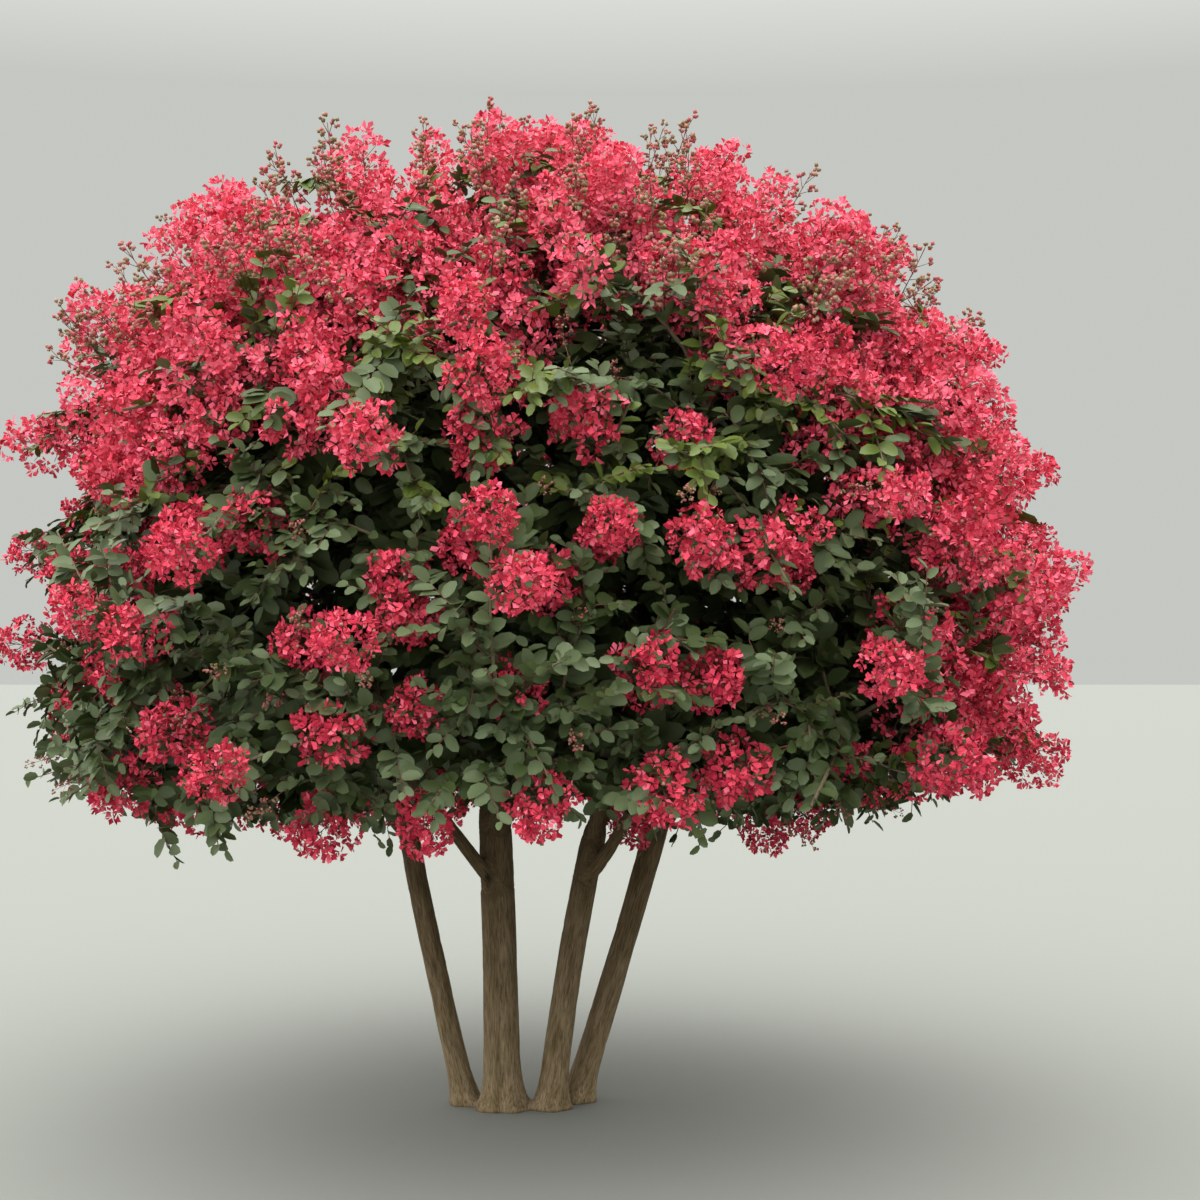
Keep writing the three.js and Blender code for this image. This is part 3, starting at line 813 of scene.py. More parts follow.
sunlit = above_bloom_line(inwards(skin, np.full(TIP_COUNT, COARSE_INSET)))
sunny = sunlit > 0
lot = dice.random(TIP_COUNT)
stray = (numbers % STRAY_EVERY == STRAY_AT) & (lot < STRAY_SHARE)
stray &= tip_height > underside_height(tip_azimuth, CROWN_RADIUS) + STRAY_ABOVE_HEM
thins_over = BLOOM_THINS_OVER + blooms_early_by(tip_azimuth)
bloom_share = between(BLOOM_SHARE, np.clip(sunlit / thins_over, 0, 1))
budded = (tip_height > BUDS_ABOVE) & np.isin(numbers % BUDS_EVERY, BUDS_AT) & (lot < BUDS_SHARE)
budded |= ~sunny & (numbers % STRAY_EVERY == LEAFY_BUDS_AT) & (lot < LEAFY_BUDS_SHARE)
budded &= ~inner & ~coarse
blooms = np.where(sunny, lot < bloom_share, stray) & ~inner & ~coarse & ~budded
roll = dice.random(TIP_COUNT)
clumps = CLUMP_DEPTH * set_back(skin)
leads = LEADER_RISE * (dice.random(TIP_COUNT) < LEADER_SHARE)
inset = between(LEAFY_INSET, roll) + clumps
inset = np.where(blooms, between(BLOOM_INSET, roll) + np.maximum(0, clumps - leads), inset)
inset = np.where(budded & sunny, between(BUD_INSET, roll), inset)
inset = np.where(inner, between(INNER_INSET, roll), inset)
inset = np.where(coarse, np.where(inner, COARSE_INNER_INSET, COARSE_INSET), inset)
tips = inwards(skin, inset)
blooms |= coarse & ((above_bloom_line(tips) > 0) | (first_chance(numbers) < COARSE_STRAYS))
print("in flower:", int(blooms.sum()), "in bud:", int(budded.sum()))

# %% [markdown]
# ## Growing the twigs
# In each mass one stem runs on from the bough's tip to the mass's centre. Every shoot then grows
# from the place on the wood so far that gives the shortest way from the bough, and each place is
# used once. It leaves along its parent's direction, lifts a little, and bends over to its tip. A
# shoot that would run into a limb is left out, and so is a coarse one that would cross into a
# neighbouring mass.

# %% Growing the twigs
PATH_WEIGHT = 0.4
BRANCH_AT = [0.3, 0.7]
STEM_BRANCH_AT = [0.25, 0.45, 0.63, 0.8, 0.97]
LENGTH_STEPS = 6
ARCH_ALONG = 0.35
ARCH_UP = 0.1
ARCH_WEEP = 0.22
WEEP_BELOW = 1.5
CELL_MARGIN = 0.002
LIMB_CLEARANCE = 0.035

centres = np.array([mass["centre"] for mass in masses])
owner = np.argmin(np.linalg.norm(tips[:, None] - centres[None], axis=2), axis=1)


def in_cell(place, points):
    """True if the points lie nearer to this mass's centre than to any other's."""
    across = centres - centres[place]
    width = np.linalg.norm(across, axis=1)
    others = width > 0
    way = (points - centres[place]) @ (across[others] / width[others, None]).T
    return bool((way <= width[others] / 2 - CELL_MARGIN).all())


def twig_knee(start, direction, tip):
    """The middle control point of a twig, which lifts it before it bends over to its tip."""
    length = np.linalg.norm(tip - start)
    low = max(0.0, (WEEP_BELOW - tip[2]) / WEEP_BELOW)
    knee = start + direction * ARCH_ALONG * length
    return knee + np.array([0, 0, (ARCH_UP + ARCH_WEEP * low) * length])


def grow_mass(place, twigs):
    """Grows one mass's twigs and adds them to the list."""
    stem = [masses[place]["tip"], masses[place]["centre"]]
    own = np.flatnonzero(owner == place)
    filled = len(STEM_BRANCH_AT)
    room = filled + len(BRANCH_AT) * len(own)
    start, way = np.zeros((room, 3)), np.zeros((room, 3))
    travelled, parent = np.full(room, np.inf), np.full(room, -1)
    start[:filled] = on_curve(stem, STEM_BRANCH_AT)
    way[:filled] = along_curve(stem, STEM_BRANCH_AT)
    travelled[:filled] = np.array(STEM_BRANCH_AT) * np.linalg.norm(stem[1] - stem[0])
    for number in own:
        tip = tips[number]
        best = int(np.argmin(np.linalg.norm(start - tip, axis=1) + PATH_WEIGHT * travelled))
        knee = twig_knee(start[best], way[best], tip)
        near_limb = axis_tree.find(tip)[2] < LIMB_CLEARANCE
        if near_limb or (coarse[number] and not in_cell(place, np.array([knee, tip]))):
            continue
        control = [start[best].copy(), knee, tip]
        places = on_curve(control, np.linspace(0, 1, LENGTH_STEPS + 1))
        length = np.linalg.norm(np.diff(places, axis=0), axis=1).sum()
        twig = {"control": control, "tip": int(number), "mass": place, "length": length}
        twigs.append({**twig, "parent": int(parent[best])})
        new = slice(filled, filled + len(BRANCH_AT))
        start[new] = on_curve(control, BRANCH_AT)
        way[new] = along_curve(control, BRANCH_AT)
        travelled[new] = travelled[best] + np.array(BRANCH_AT) * length
        parent[new] = len(twigs) - 1
        travelled[best] = np.inf
        filled += len(BRANCH_AT)


twigs = []
for place in range(len(masses)):
    grow_mass(place, twigs)
twig_tip, twig_length = (np.array([twig[key] for twig in twigs]) for key in ("tip", "length"))
twig_ring = np.array([masses[twig["mass"]]["ring"] for twig in twigs])
twig_control = [np.array([twig["control"][i] for twig in twigs]) for i in range(3)]
print("twigs:", len(twigs), "average length:", round(twig_length.mean() * 1000), "mm")

# %% [markdown]
# ## How thick each twig is
# Wood is a bundle of pipes: a twig has to carry the sap of every shoot beyond it, so its thickness
# grows with how many those are. Counting is done from the youngest twig back to the oldest. Then, in
# the order of growth, no twig may be as thick as the wood that it leaves.

# %% How thick each twig is
SHOOT_RADIUS = 0.0015
PIPE_POWER = 0.45
THICKEST_TWIG = 0.0085
CHILD_SHARE = 0.9
TAPER_TO = 0.55
FORKED_END = 0.8
SHOOT_END = 0.7

load = np.ones(len(twigs))
for i in range(len(twigs) - 1, -1, -1):
    if twigs[i]["parent"] >= 0:
        load[twigs[i]["parent"]] += load[i]
twig_radius = np.minimum(THICKEST_TWIG, SHOOT_RADIUS * load**PIPE_POWER)
for i, twig in enumerate(twigs):
    if twig["parent"] >= 0:
        twig_radius[i] = min(twig_radius[i], twig_radius[twig["parent"]] * CHILD_SHARE)
forked_end = np.maximum(SHOOT_RADIUS * FORKED_END, twig_radius * TAPER_TO)
twig_end_radius = np.where(load > 1, forked_end, SHOOT_RADIUS * SHOOT_END)
print("twig radius from", round(twig_radius.min() * 1000, 1), "to", round(twig_radius.max() * 1000, 1), "mm")

# %% [markdown]
# ## Many small things in one mesh
# A crown has tens of thousands of leaves. Each kind of small thing is modelled once, its points are
# set out along every shoot as one array, and the array becomes one joined mesh. A set of copies is
# kept as an array of points by copy, with the faces of one copy and a finish for each face. Blossom
# is shaded facet by facet, like the ruffled petals, and the rest is smooth.


# %% Many small things in one mesh
PIECE_TRIANGLES = 190_000
made = {}


def place_copies(points, base, axes, size):
    """Copies of a shape's points, each with its own base, three axes and size."""
    turned = np.einsum("vk,nkc->nvc", points, axes)
    return base[:, None, :] + turned * np.asarray(size).reshape(-1, 1, 1)


def add_set(kind, ring, points, faces, finishes, tones):
    """Notes a set of copies for the joined piece of its kind and ring."""
    tones = np.broadcast_to(tones, (len(points), len(faces)))
    made.setdefault((kind, ring), []).append((points, faces, finishes, tones))


def mesh_piece(name, points, faces, materials, tones, smooth):
    """One joined mesh, shaded smooth or facet by facet."""
    mesh = bpy.data.meshes.new(name)
    mesh.vertices.add(len(points))
    mesh.vertices.foreach_set("co", points.astype(np.float32).ravel())
    mesh.loops.add(faces.size)
    mesh.loops.foreach_set("vertex_index", faces.astype(np.int32).ravel())
    mesh.polygons.add(len(faces))
    mesh.polygons.foreach_set("loop_start", np.arange(0, faces.size, 3, dtype=np.int32))
    for material in materials:
        mesh.materials.append(material)
    mesh.polygons.foreach_set("material_index", tones.astype(np.int32))
    mesh.update(calc_edges=True)
    if smooth:
        mesh.shade_smooth()
    else:
        mesh.shade_flat()
    piece = bpy.data.objects.new(name, mesh)
    bpy.context.collection.objects.link(piece)
    return piece


def join_sets(kind, ring):
    """Makes the joined pieces of one kind and ring, each under the limit, and gives them to the frame."""
    materials, points, faces, tones = [], [], [], []
    used = 0
    for set_points, set_faces, finishes, set_tones in made.pop((kind, ring), []):
        materials += [finish for finish in finishes if finish not in materials]
        slots = np.array([materials.index(finish) for finish in finishes])
        copies, count = set_points.shape[:2]
        shift = used + count * np.arange(copies)
        points.append(set_points.reshape(-1, 3))
        faces.append((set_faces[None] + shift[:, None, None]).reshape(-1, 3))
        tones.append(slots[set_tones].reshape(-1))
        used += copies * count
    if not points:
        return
    points, faces, tones = np.concatenate(points), np.concatenate(faces), np.concatenate(tones)
    parts = -(-len(faces) // PIECE_TRIANGLES)
    for part in range(parts):
        own = slice(part * len(faces) // parts, (part + 1) * len(faces) // parts)
        kept, own_faces = np.unique(faces[own], return_inverse=True)
        own_faces = own_faces.reshape(-1, 3)
        name = f"{kind}_{ring}" + (f"_{part + 1}" if parts > 1 else "")
        piece = mesh_piece(name, points[kept], own_faces, materials, tones[own], kind != "blossom")
        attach(piece, "root")
        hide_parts(*(f"foliage_{mass['name']}" for mass in masses if mass["ring"] == ring))
        print(name, "has", len(own_faces), "triangles")


# %% [markdown]
# ## Twigs
# A twig is a thin tapering tube. Its curve lies in one plane, so one side of the tube can keep to
# that plane's normal all the way, and the tube never twists. The mass's own stem gets eight sides,
# the few twigs that carry many shoots get six, and the fine ones three, which is plenty at three
# millimetres. A cut gives the number of sides and then of sections.

# %% Twigs
THICK_LOAD = 8
MASS_STEM_RADIUS = (0.012, 0.007)
MASS_STEM_CUT = (8, 6)
TWIG_CUTS = ((True, 6, 6), (False, 3, 2))
STALK_CUT = (3, 1)
STRAIGHT_BELOW = 1e-5
OFF_THE_LIMBS = np.array([0.3, 0.2, 1.0])


def tube_faces(sides, sections):
    """The triangles of a closed tube."""
    faces = []
    for ring in range(sections):
        for i in range(sides):
            a, b = ring * sides + i, ring * sides + (i + 1) % sides
            faces += [(a, b, b + sides), (a, b + sides, a + sides)]
    top = sections * sides
    for i in range(1, sides - 1):
        faces += [(0, i + 1, i), (top, top + i, top + i + 1)]
    return np.array(faces)


def tubes(control, radius, end_radius, sides, sections):
    """Points of tubes along many curves."""
    share = np.linspace(0, 1, sections + 1)
    centre = on_curve(control, np.broadcast_to(share, (len(radius), sections + 1)))
    along = along_curve(control, np.broadcast_to(share, (len(radius), sections + 1)))
    reach = control[-1] - control[0]
    bend = np.cross(control[1] - control[0], reach)
    straight = np.linalg.norm(bend, axis=1, keepdims=True) < STRAIGHT_BELOW
    side = unit(np.where(straight, np.cross(reach, OFF_THE_LIMBS), bend))[:, None, :]
    side = unit(side - along * (along * side).sum(-1, keepdims=True))
    back = np.cross(along, side)
    turn = np.arange(sides) * 2 * math.pi / sides
    wide = radius[:, None] + (end_radius - radius)[:, None] * share
    around = side[:, :, None] * np.cos(turn)[:, None] + back[:, :, None] * np.sin(turn)[:, None]
    return (centre[:, :, None] + around * wide[:, :, None, None]).reshape(len(radius), -1, 3)


for ring in RINGS:
    for thick, sides, sections in TWIG_CUTS:
        own = (twig_ring == ring) & ((load >= THICK_LOAD) == thick)
        control = [points[own] for points in twig_control]
        points = tubes(control, twig_radius[own], twig_end_radius[own], sides, sections)
        finish = TWIG_BARK if thick else SHOOT_BARK
        add_set("twigs", ring, points, tube_faces(sides, sections), [finish], 0)
    carriers = [mass for mass in masses if mass["ring"] == ring]
    ends = [np.array([mass[end] for mass in carriers]) for end in ("tip", "centre")]
    wide = [np.full(len(carriers), radius) for radius in MASS_STEM_RADIUS]
    add_set("twigs", ring, tubes(ends, *wide, *MASS_STEM_CUT), tube_faces(*MASS_STEM_CUT), [TWIG_BARK], 0)
print("tubes set out along", len(twigs), "twigs and", len(masses), "stems of masses")

# %% [markdown]
# ## One leaf
# A leaf is a broad ellipse, a little narrower towards its blunt tip, folded along its midrib and
# curled down. It starts as a filled disc of eight corners that is cut in two along the midrib, drawn
# out and bent corner by corner. Six triangles are enough for the outline and the fold to catch the
# light.

# %% One leaf
LEAF_LENGTH = 0.057
LEAF_WIDTH = 0.037
LEAF_FOLD = 0.16
LEAF_CURL = 0.2
LEAF_SHOULDER = 0.93


def shape_of(piece):
    """A piece's points and triangles; the piece is removed."""
    points = vectors_of(piece.data.vertices, "co")
    piece.data.calc_loop_triangles()
    faces = np.array([triangle.vertices[:] for triangle in piece.data.loop_triangles])
    bpy.data.objects.remove(piece)
    return points, faces


def model_leaf():
    """A leaf that lies along X, faces Z, and has its base at the origin."""
    deselect_all()
    bpy.ops.mesh.primitive_circle_add(vertices=8, radius=1, fill_type="NGON")
    bpy.ops.object.mode_set(mode="EDIT")
    bpy.ops.mesh.bisect(plane_co=(0, 0, 0), plane_no=(0, 1, 0))
    bpy.ops.object.mode_set(mode="OBJECT")
    points, faces = shape_of(bpy.context.object)
    x = (points[:, 0] + 1) / 2
    towards_tip = np.clip(points[:, 0], 0, 1)
    y = points[:, 1] * (1 - (1 - LEAF_SHOULDER) * towards_tip)
    z = LEAF_FOLD * np.abs(y) - LEAF_CURL * x**2
    return np.stack([x * LEAF_LENGTH, y * LEAF_WIDTH / 2, z * LEAF_WIDTH], axis=1), faces


leaf_points, leaf_faces = model_leaf()
print("leaf:", len(leaf_faces), "triangles")

# %% [markdown]
# ## Leaves along the shoots
# Leaves stand in two ranks on arching shoots and turn by quarter turns on upright ones. They grow
# smaller towards the tip, lean forward, and face the sky and the light outside the crown. Each shoot
# is dealt one green: at the skin sage, which is painted light, olive or, where it is sunny or high,
# young green, and inside olive or deep green, which is painted shade. The deeper a shoot ends inside,
# the larger its leaves are, so that fewer of them close the crown.

# %% Leaves along the shoots
LEAFY_LENGTH = 0.3
LEAFY_SHARE = 0.86
LEAF_SPACING = 0.0125
FEWEST_LEAVES = 2
BELOW_TIP = 0.004
BELOW_PANICLE = 0.045
NEAREST_BASE = 0.02
UPRIGHT = {"from": 0.5, "over": 0.4}
LEAF_TURNS = 0.35
LEAF_WAY = {"around": 0.85, "forward": 0.42, "forward at tip": 1.0, "droop": 0.1, "scatter": 0.16}
LEAF_FACES = {"sky": 0.45, "light": 0.85, "scatter": 0.33}
YOUNG_LEAVES = {"ranks": 5, "size": 0.6}
LEAF_SIZES = (0.84, 1.14)
INNER_LEAVES_LARGER = (1.2, 1.9)
FRESH_ABOVE = 1.75
SAGE_UP_TO = 0.55
YOUNG_OVER = {"sunny": 0.35, "fresh": 0.6}
DEEP_UP_TO = 0.7
SAGE, OLIVE, DEEP, YOUNG = range(len(LEAVES))

end_way = along_curve(twig_control, np.ones((len(twigs), 1)))[:, 0]
tip_points = tips[twig_tip]
tip_outwards = unit(tip_points - HEART)
twig_sunny, twig_inner = sunny[twig_tip], inner[twig_tip]
twig_blooms, twig_budded = blooms[twig_tip], budded[twig_tip]


def deal_greens():
    """The green that each shoot's leaves are dealt: sage as painted light at the skin, deep green as painted
    shade inside.
    """
    draw = dice.random(len(twigs))
    fresh = tip_points[:, 2] > FRESH_ABOVE
    young = (twig_sunny & (draw > YOUNG_OVER["sunny"])) | (fresh & (draw > YOUNG_OVER["fresh"]))
    # Sage at the skin is painted light.
    outside = np.where(young, YOUNG, np.where(draw < SAGE_UP_TO, SAGE, OLIVE))
    # Deep green inside the crown is painted shade.
    return np.where(twig_inner, np.where(fresh | (draw > DEEP_UP_TO), OLIVE, DEEP), outside)


def set_leaves():
    """Base, axes, size and shoot of every leaf."""
    first = np.where(twig_blooms | twig_budded, BELOW_PANICLE, BELOW_TIP)
    count = ((np.minimum(LEAFY_LENGTH, twig_length * LEAFY_SHARE) - first) / LEAF_SPACING).astype(int)
    count = np.maximum(count, FEWEST_LEAVES)
    shoot = np.repeat(np.arange(len(twigs)), count)
    rank = np.arange(len(shoot)) - np.repeat(np.cumsum(count) - count, count)
    share = 1 - (first[shoot] + rank * LEAF_SPACING) / twig_length[shoot]
    share = np.clip(share, NEAREST_BASE, 1)[:, None]
    control = [points[shoot] for points in twig_control]
    base = on_curve(control, share)[:, 0]
    along = along_curve(control, share)[:, 0]
    level = unit(np.cross(along, [0.0, 0.0, 1.0]))
    above = np.cross(level, along)
    upright = np.clip((np.abs(along[:, 2]) - UPRIGHT["from"]) / UPRIGHT["over"], 0, 1)
    turn = (rank % 2) * math.pi + (rank // 2 % 2) * math.pi / 2 * upright
    turn = turn + dice.normal(0, LEAF_TURNS, len(rank))
    around = level * np.cos(turn)[:, None] + above * np.sin(turn)[:, None]
    forward = np.where(rank < FEWEST_LEAVES, LEAF_WAY["forward at tip"], LEAF_WAY["forward"])[:, None]
    length_way = around * LEAF_WAY["around"] + along * forward
    length_way = length_way + dice.normal(0, LEAF_WAY["scatter"], base.shape)
    length_way = unit(length_way - [0, 0, LEAF_WAY["droop"]])
    facing = np.array([0, 0, LEAF_FACES["sky"]]) + unit(base - HEART) * LEAF_FACES["light"]
    facing = facing + dice.normal(0, LEAF_FACES["scatter"], base.shape)
    facing = unit(facing - length_way * (facing * length_way).sum(1, keepdims=True))
    axes = np.stack([length_way, np.cross(facing, length_way), facing], axis=1)
    size = np.interp(rank, [0, YOUNG_LEAVES["ranks"]], [YOUNG_LEAVES["size"], 1.0])
    size = size * dice.uniform(*LEAF_SIZES, len(rank))
    size *= np.where(twig_inner, between(INNER_LEAVES_LARGER, roll[twig_tip]), 1.0)[shoot]
    return base, axes, size, shoot


leaf_base, leaf_axes, leaf_size, leaf_shoot = set_leaves()
shoot_green = deal_greens()
for ring in RINGS:
    own = twig_ring[leaf_shoot] == ring
    points = place_copies(leaf_points, leaf_base[own], leaf_axes[own], leaf_size[own])
    add_set("leaves", ring, points, leaf_faces, list(LEAVES.values()), shoot_green[leaf_shoot[own]][:, None])
print("leaves:", len(leaf_shoot))

# %% [markdown]
# ## One floret
# A crape myrtle flower has six petals. Each is a crinkled fan on a thin claw, and together they make
# a ruffled ball three or four centimetres across, with gaps between the claws. A petal is a filled
# ring of four corners, its claw and three on the rim, drawn out to a fan. Six of them are turned round
# the middle, each tilted up by its own amount, and every corner of the rim is thrown up or down, so
# that no two petals lie in one plane. A few different florets are made, so that neighbours don't match.

# %% One floret
FLORET_RADIUS = 0.0168
FLORET_KINDS = 8
PETALS_EACH = 6
CLAW_END = 0.15
RIM_SIDE = 0.82
RIM_TURN = 0.5
PETAL_SIZES = (0.8, 1.15)
PETAL_TURNS = 0.15
PETAL_TILT = (-0.1, 1.1)
CRINKLE = 0.3


def model_petal():
    """A flat petal of two triangles that lies along X, faces Z, and has its claw near the origin."""
    deselect_all()
    bpy.ops.mesh.primitive_circle_add(vertices=4, radius=1, fill_type="NGON")
    piece = bpy.context.object
    corners = np.array(piece.data.polygons[0].vertices[:])
    reach = np.array([CLAW_END, RIM_SIDE, 1, RIM_SIDE])
    turn = np.array([0, -RIM_TURN, 0, RIM_TURN])
    outline = np.zeros((4, 3))
    outline[corners] = np.stack([reach * np.cos(turn), reach * np.sin(turn), 0 * turn], axis=1)
    bpy.data.objects.remove(piece)
    return outline, corners[[[0, 1, 2], [0, 2, 3]]]


def model_floret():
    """A ruffled floret round the origin that faces Z."""
    points, faces = [], []
    for number in range(PETALS_EACH):
        corners = petal_points * dice.uniform(*PETAL_SIZES)
        out = np.hypot(corners[:, 0], corners[:, 1])
        rim = out > RIM_SIDE / 2
        corners[:, 2] = out * dice.uniform(*PETAL_TILT) + rim * dice.uniform(-CRINKLE, CRINKLE, len(out))
        turn = number * 2 * math.pi / PETALS_EACH + dice.normal(0, PETAL_TURNS)
        cos, sin = math.cos(turn), math.sin(turn)
        points.append(corners @ np.array([[cos, sin, 0], [-sin, cos, 0], [0, 0, 1]]))
        faces.append(petal_faces + number * len(petal_points))
    return np.vstack(points) * FLORET_RADIUS, np.vstack(faces)


petal_points, petal_faces = model_petal()
florets = [model_floret() for _ in range(FLORET_KINDS)]
floret_faces = florets[0][1]
print("floret kinds:", len(florets), "of", len(floret_faces), "triangles")

# %% [markdown]
# ## Buds and stalks
# Between the florets of a panicle show round buds and the husks of flowers that have dropped. A bud
# is a bead a centimetre across with eight faces: a cone of four sides, mirrored at its rim. A stalk
# is a three-sided tube.

# %% Buds and stalks
BUD_RADIUS = 0.0058


def model_bud():
    """A small bead of eight triangles."""
    deselect_all()
    middle = (0, 0, BUD_RADIUS / 2)
    sizes = {"radius1": BUD_RADIUS, "depth": BUD_RADIUS}
    bpy.ops.mesh.primitive_cone_add(vertices=4, end_fill_type="NOTHING", location=middle, **sizes)
    bpy.ops.object.transform_apply(location=True)
    bpy.ops.object.mode_set(mode="EDIT")
    bpy.ops.mesh.duplicate_move()
    bpy.ops.transform.resize(value=(1, 1, -1), center_override=(0, 0, 0))
    bpy.ops.mesh.select_all(action="SELECT")
    bpy.ops.mesh.remove_doubles(threshold=BUD_RADIUS / 10)
    bpy.ops.mesh.normals_make_consistent(inside=False)
    bpy.ops.object.mode_set(mode="OBJECT")
    return shape_of(bpy.context.object)


bud_points, bud_faces = model_bud()
print("bud:", len(bud_faces), "triangles")

# %% [markdown]
# ## Panicles
# A panicle is a blunt cone of side branches round a stalk, a hand's length long, and each branch ends
# in a clump of florets. The clumps are set round the stalk by the golden angle, which spaces them
# evenly without rows, and so are the florets over the outer side of each clump. That gives a lobed
# outline with single florets at its edge, and gaps where stalks and buds show. A stray in the shade is
# wider and rounder, with more and fuller clumps. Several panicles are made up like this, and copied,
# turned and sized over the crown.

# %% Panicles
PANICLE_LENGTH = 0.155
PANICLE_RADIUS = 0.05
PANICLE_FOOT = 0.62
PANICLE_SHOULDER = {"at": 0.8, "wide": 0.72}
WITHIN_PROFILE = (0.6, 1.0)
FACES_OUT = 1.1
STALK_SCATTER = 0.25
GOLDEN_ANGLE = math.radians(137.5)
SUNNY_PANICLES = {"kinds": 8, "looser": 1.0, "clumps": 11, "in_clump": 4}
STRAY_PANICLES = {"kinds": 5, "looser": 1.45, "clumps": 16, "in_clump": 5}
CLUMP_RADIUS = 0.02
CLUMPS_OUT = (0.75, 1.25)
FLORETS_OUT = (0.7, 1.35)
FLORET_SCATTER = 0.2
FLORET_SIZES = (0.85, 1.15)
BUDS_EACH = 11
BUDS_WIDER = 1.35
BUD_SIZES = (0.7, 1.15)
BUD_PANICLE_KINDS = 3
BUD_HEADS = 9
BUD_HEADS_NARROWER = 0.7
BUD_HEAD_RADIUS = 0.009
BUDS_IN_HEAD = 5
HEAD_BUD_SIZES = (0.9, 1.35)
STALK_RADIUS = 0.0016
STALK_TAPER = 0.7
STALK_BELOW = 0.03
STALK_SHARE = 0.85
FLOWER_STALK_FEET = 0.7
BUD_STALK_FEET = 0.75


def random_axes(facing):
    """Three axes for each facing direction, turned at random round it."""
    spin = dice.normal(0, 1, facing.shape)
    length_way = unit(spin - facing * (spin * facing).sum(1, keepdims=True))
    return np.stack([length_way, np.cross(facing, length_way), facing], axis=1)


def around_stalk(count, first_turn, lean, widest, narrow):
    """Even places round a stalk and the way that each faces."""
    up = (np.arange(count) + 0.5) / count
    turn = first_turn + np.arange(count) * GOLDEN_ANGLE
    heights = [0, widest, PANICLE_SHOULDER["at"], 1]
    profile = np.interp(up, heights, [PANICLE_FOOT, 1, PANICLE_SHOULDER["wide"], narrow])
    out = np.stack([np.cos(turn), np.sin(turn), np.zeros(count)], axis=1)
    place = out * (profile * dice.uniform(*WITHIN_PROFILE, count))[:, None] * PANICLE_RADIUS
    place[:, 2] = up * PANICLE_LENGTH
    facing = out * (FACES_OUT - up)[:, None] + np.array([0, 0, 1]) * (lean + up)[:, None]
    return place, unit(facing + dice.normal(0, STALK_SCATTER, place.shape))


def bead_set(place, sizes):
    """Buds at places, sized and turned at random."""
    size = dice.uniform(*sizes, len(place))
    facing = unit(dice.normal(0, 1, place.shape))
    return place_copies(bud_points, place, random_axes(facing), size)


def stalk_set(ends, foot_share):
    """Thin stalks from the middle of a panicle out to these ends, and the stalk up its middle."""
    feet = np.vstack([ends * np.array([0, 0, foot_share]), [0, 0, -STALK_BELOW]])
    ends = np.vstack([ends, [0, 0, PANICLE_LENGTH * STALK_SHARE]])
    thick = np.append(np.full(len(ends) - 1, STALK_RADIUS * STALK_TAPER), STALK_RADIUS)
    return tubes([feet, ends], thick, thick * STALK_TAPER, *STALK_CUT)


def over_clumps(outwards, in_clump):
    """The ways that florets face over the outer side of each clump."""
    up = 1 - (np.arange(in_clump) + 0.5) / in_clump
    turn = np.arange(in_clump) * GOLDEN_ANGLE
    flat = np.sqrt(1 - up**2)
    way = np.stack([flat * np.cos(turn), flat * np.sin(turn), up], axis=1)
    return np.einsum("vk,nkc->nvc", way, random_axes(outwards)).reshape(-1, 3)


def compose_panicle(number, looser, clumps, in_clump):
    """One kind of panicle: its florets, buds and stalks as sets of copies."""
    hearts, outwards = around_stalk(clumps, number, lean=0.15, widest=0.38, narrow=0.3)
    hearts[:, :2] *= looser * dice.uniform(*CLUMPS_OUT, (clumps, 1))
    count = clumps * in_clump
    facing = unit(over_clumps(outwards, in_clump) + dice.normal(0, FLORET_SCATTER, (count, 3)))
    away = CLUMP_RADIUS * dice.uniform(*FLORETS_OUT, (count, 1))
    place = np.repeat(hearts, in_clump, axis=0) + facing * away
    axes = random_axes(facing)
    size = dice.uniform(*FLORET_SIZES, count)
    kinds = dice.integers(FLORET_KINDS, size=count)
    petals = np.concatenate([
        place_copies(florets[kind][0], *(rows[i : i + 1] for rows in (place, axes, size)))
        for i, kind in enumerate(kinds)
    ])
    bud_place, _ = around_stalk(BUDS_EACH, number + 2, lean=0.1, widest=0.4, narrow=0.35)
    bud_place[:, :2] *= BUDS_WIDER * looser
    beads = bead_set(bud_place, BUD_SIZES)
    return {"florets": petals, "buds": beads, "stalks": stalk_set(hearts, FLOWER_STALK_FEET)}


def compose_bud_panicle(number):
    """A panicle still in bud: an open head of round buds on branching stalks."""
    heads, _ = around_stalk(BUD_HEADS, number, lean=0.1, widest=0.35, narrow=0.3)
    heads[:, :2] *= BUD_HEADS_NARROWER
    place = np.repeat(heads, BUDS_IN_HEAD, axis=0)
    place += unit(dice.normal(0, 1, place.shape)) * BUD_HEAD_RADIUS
    stalks = stalk_set(place[::BUDS_IN_HEAD], BUD_STALK_FEET)
    return {"buds": bead_set(place, HEAD_BUD_SIZES), "stalks": stalks}


def compose_kinds(kinds, **shape):
    """Several kinds of panicle of the same make."""
    return [compose_panicle(number, **shape) for number in range(kinds)]


panicles = compose_kinds(**SUNNY_PANICLES)
stray_panicles = compose_kinds(**STRAY_PANICLES)
bud_panicles = [compose_bud_panicle(number) for number in range(BUD_PANICLE_KINDS)]
print("panicle kinds:", len(panicles), "with", len(panicles[0]["florets"]), "florets each")

# %% [markdown]
# ## Flowers over the crown
# Each flowering shoot carries its panicle on in the direction of its end, turned towards the light
# outside. The panicle is turned round its stalk at random and sized a little differently. It is
# painted with light and shade: more rose at the top of the crown, more red further down and more
# crimson lower still and on the strays in the shade. Its petals also vary at random round that, as
# fresh and older ones do.

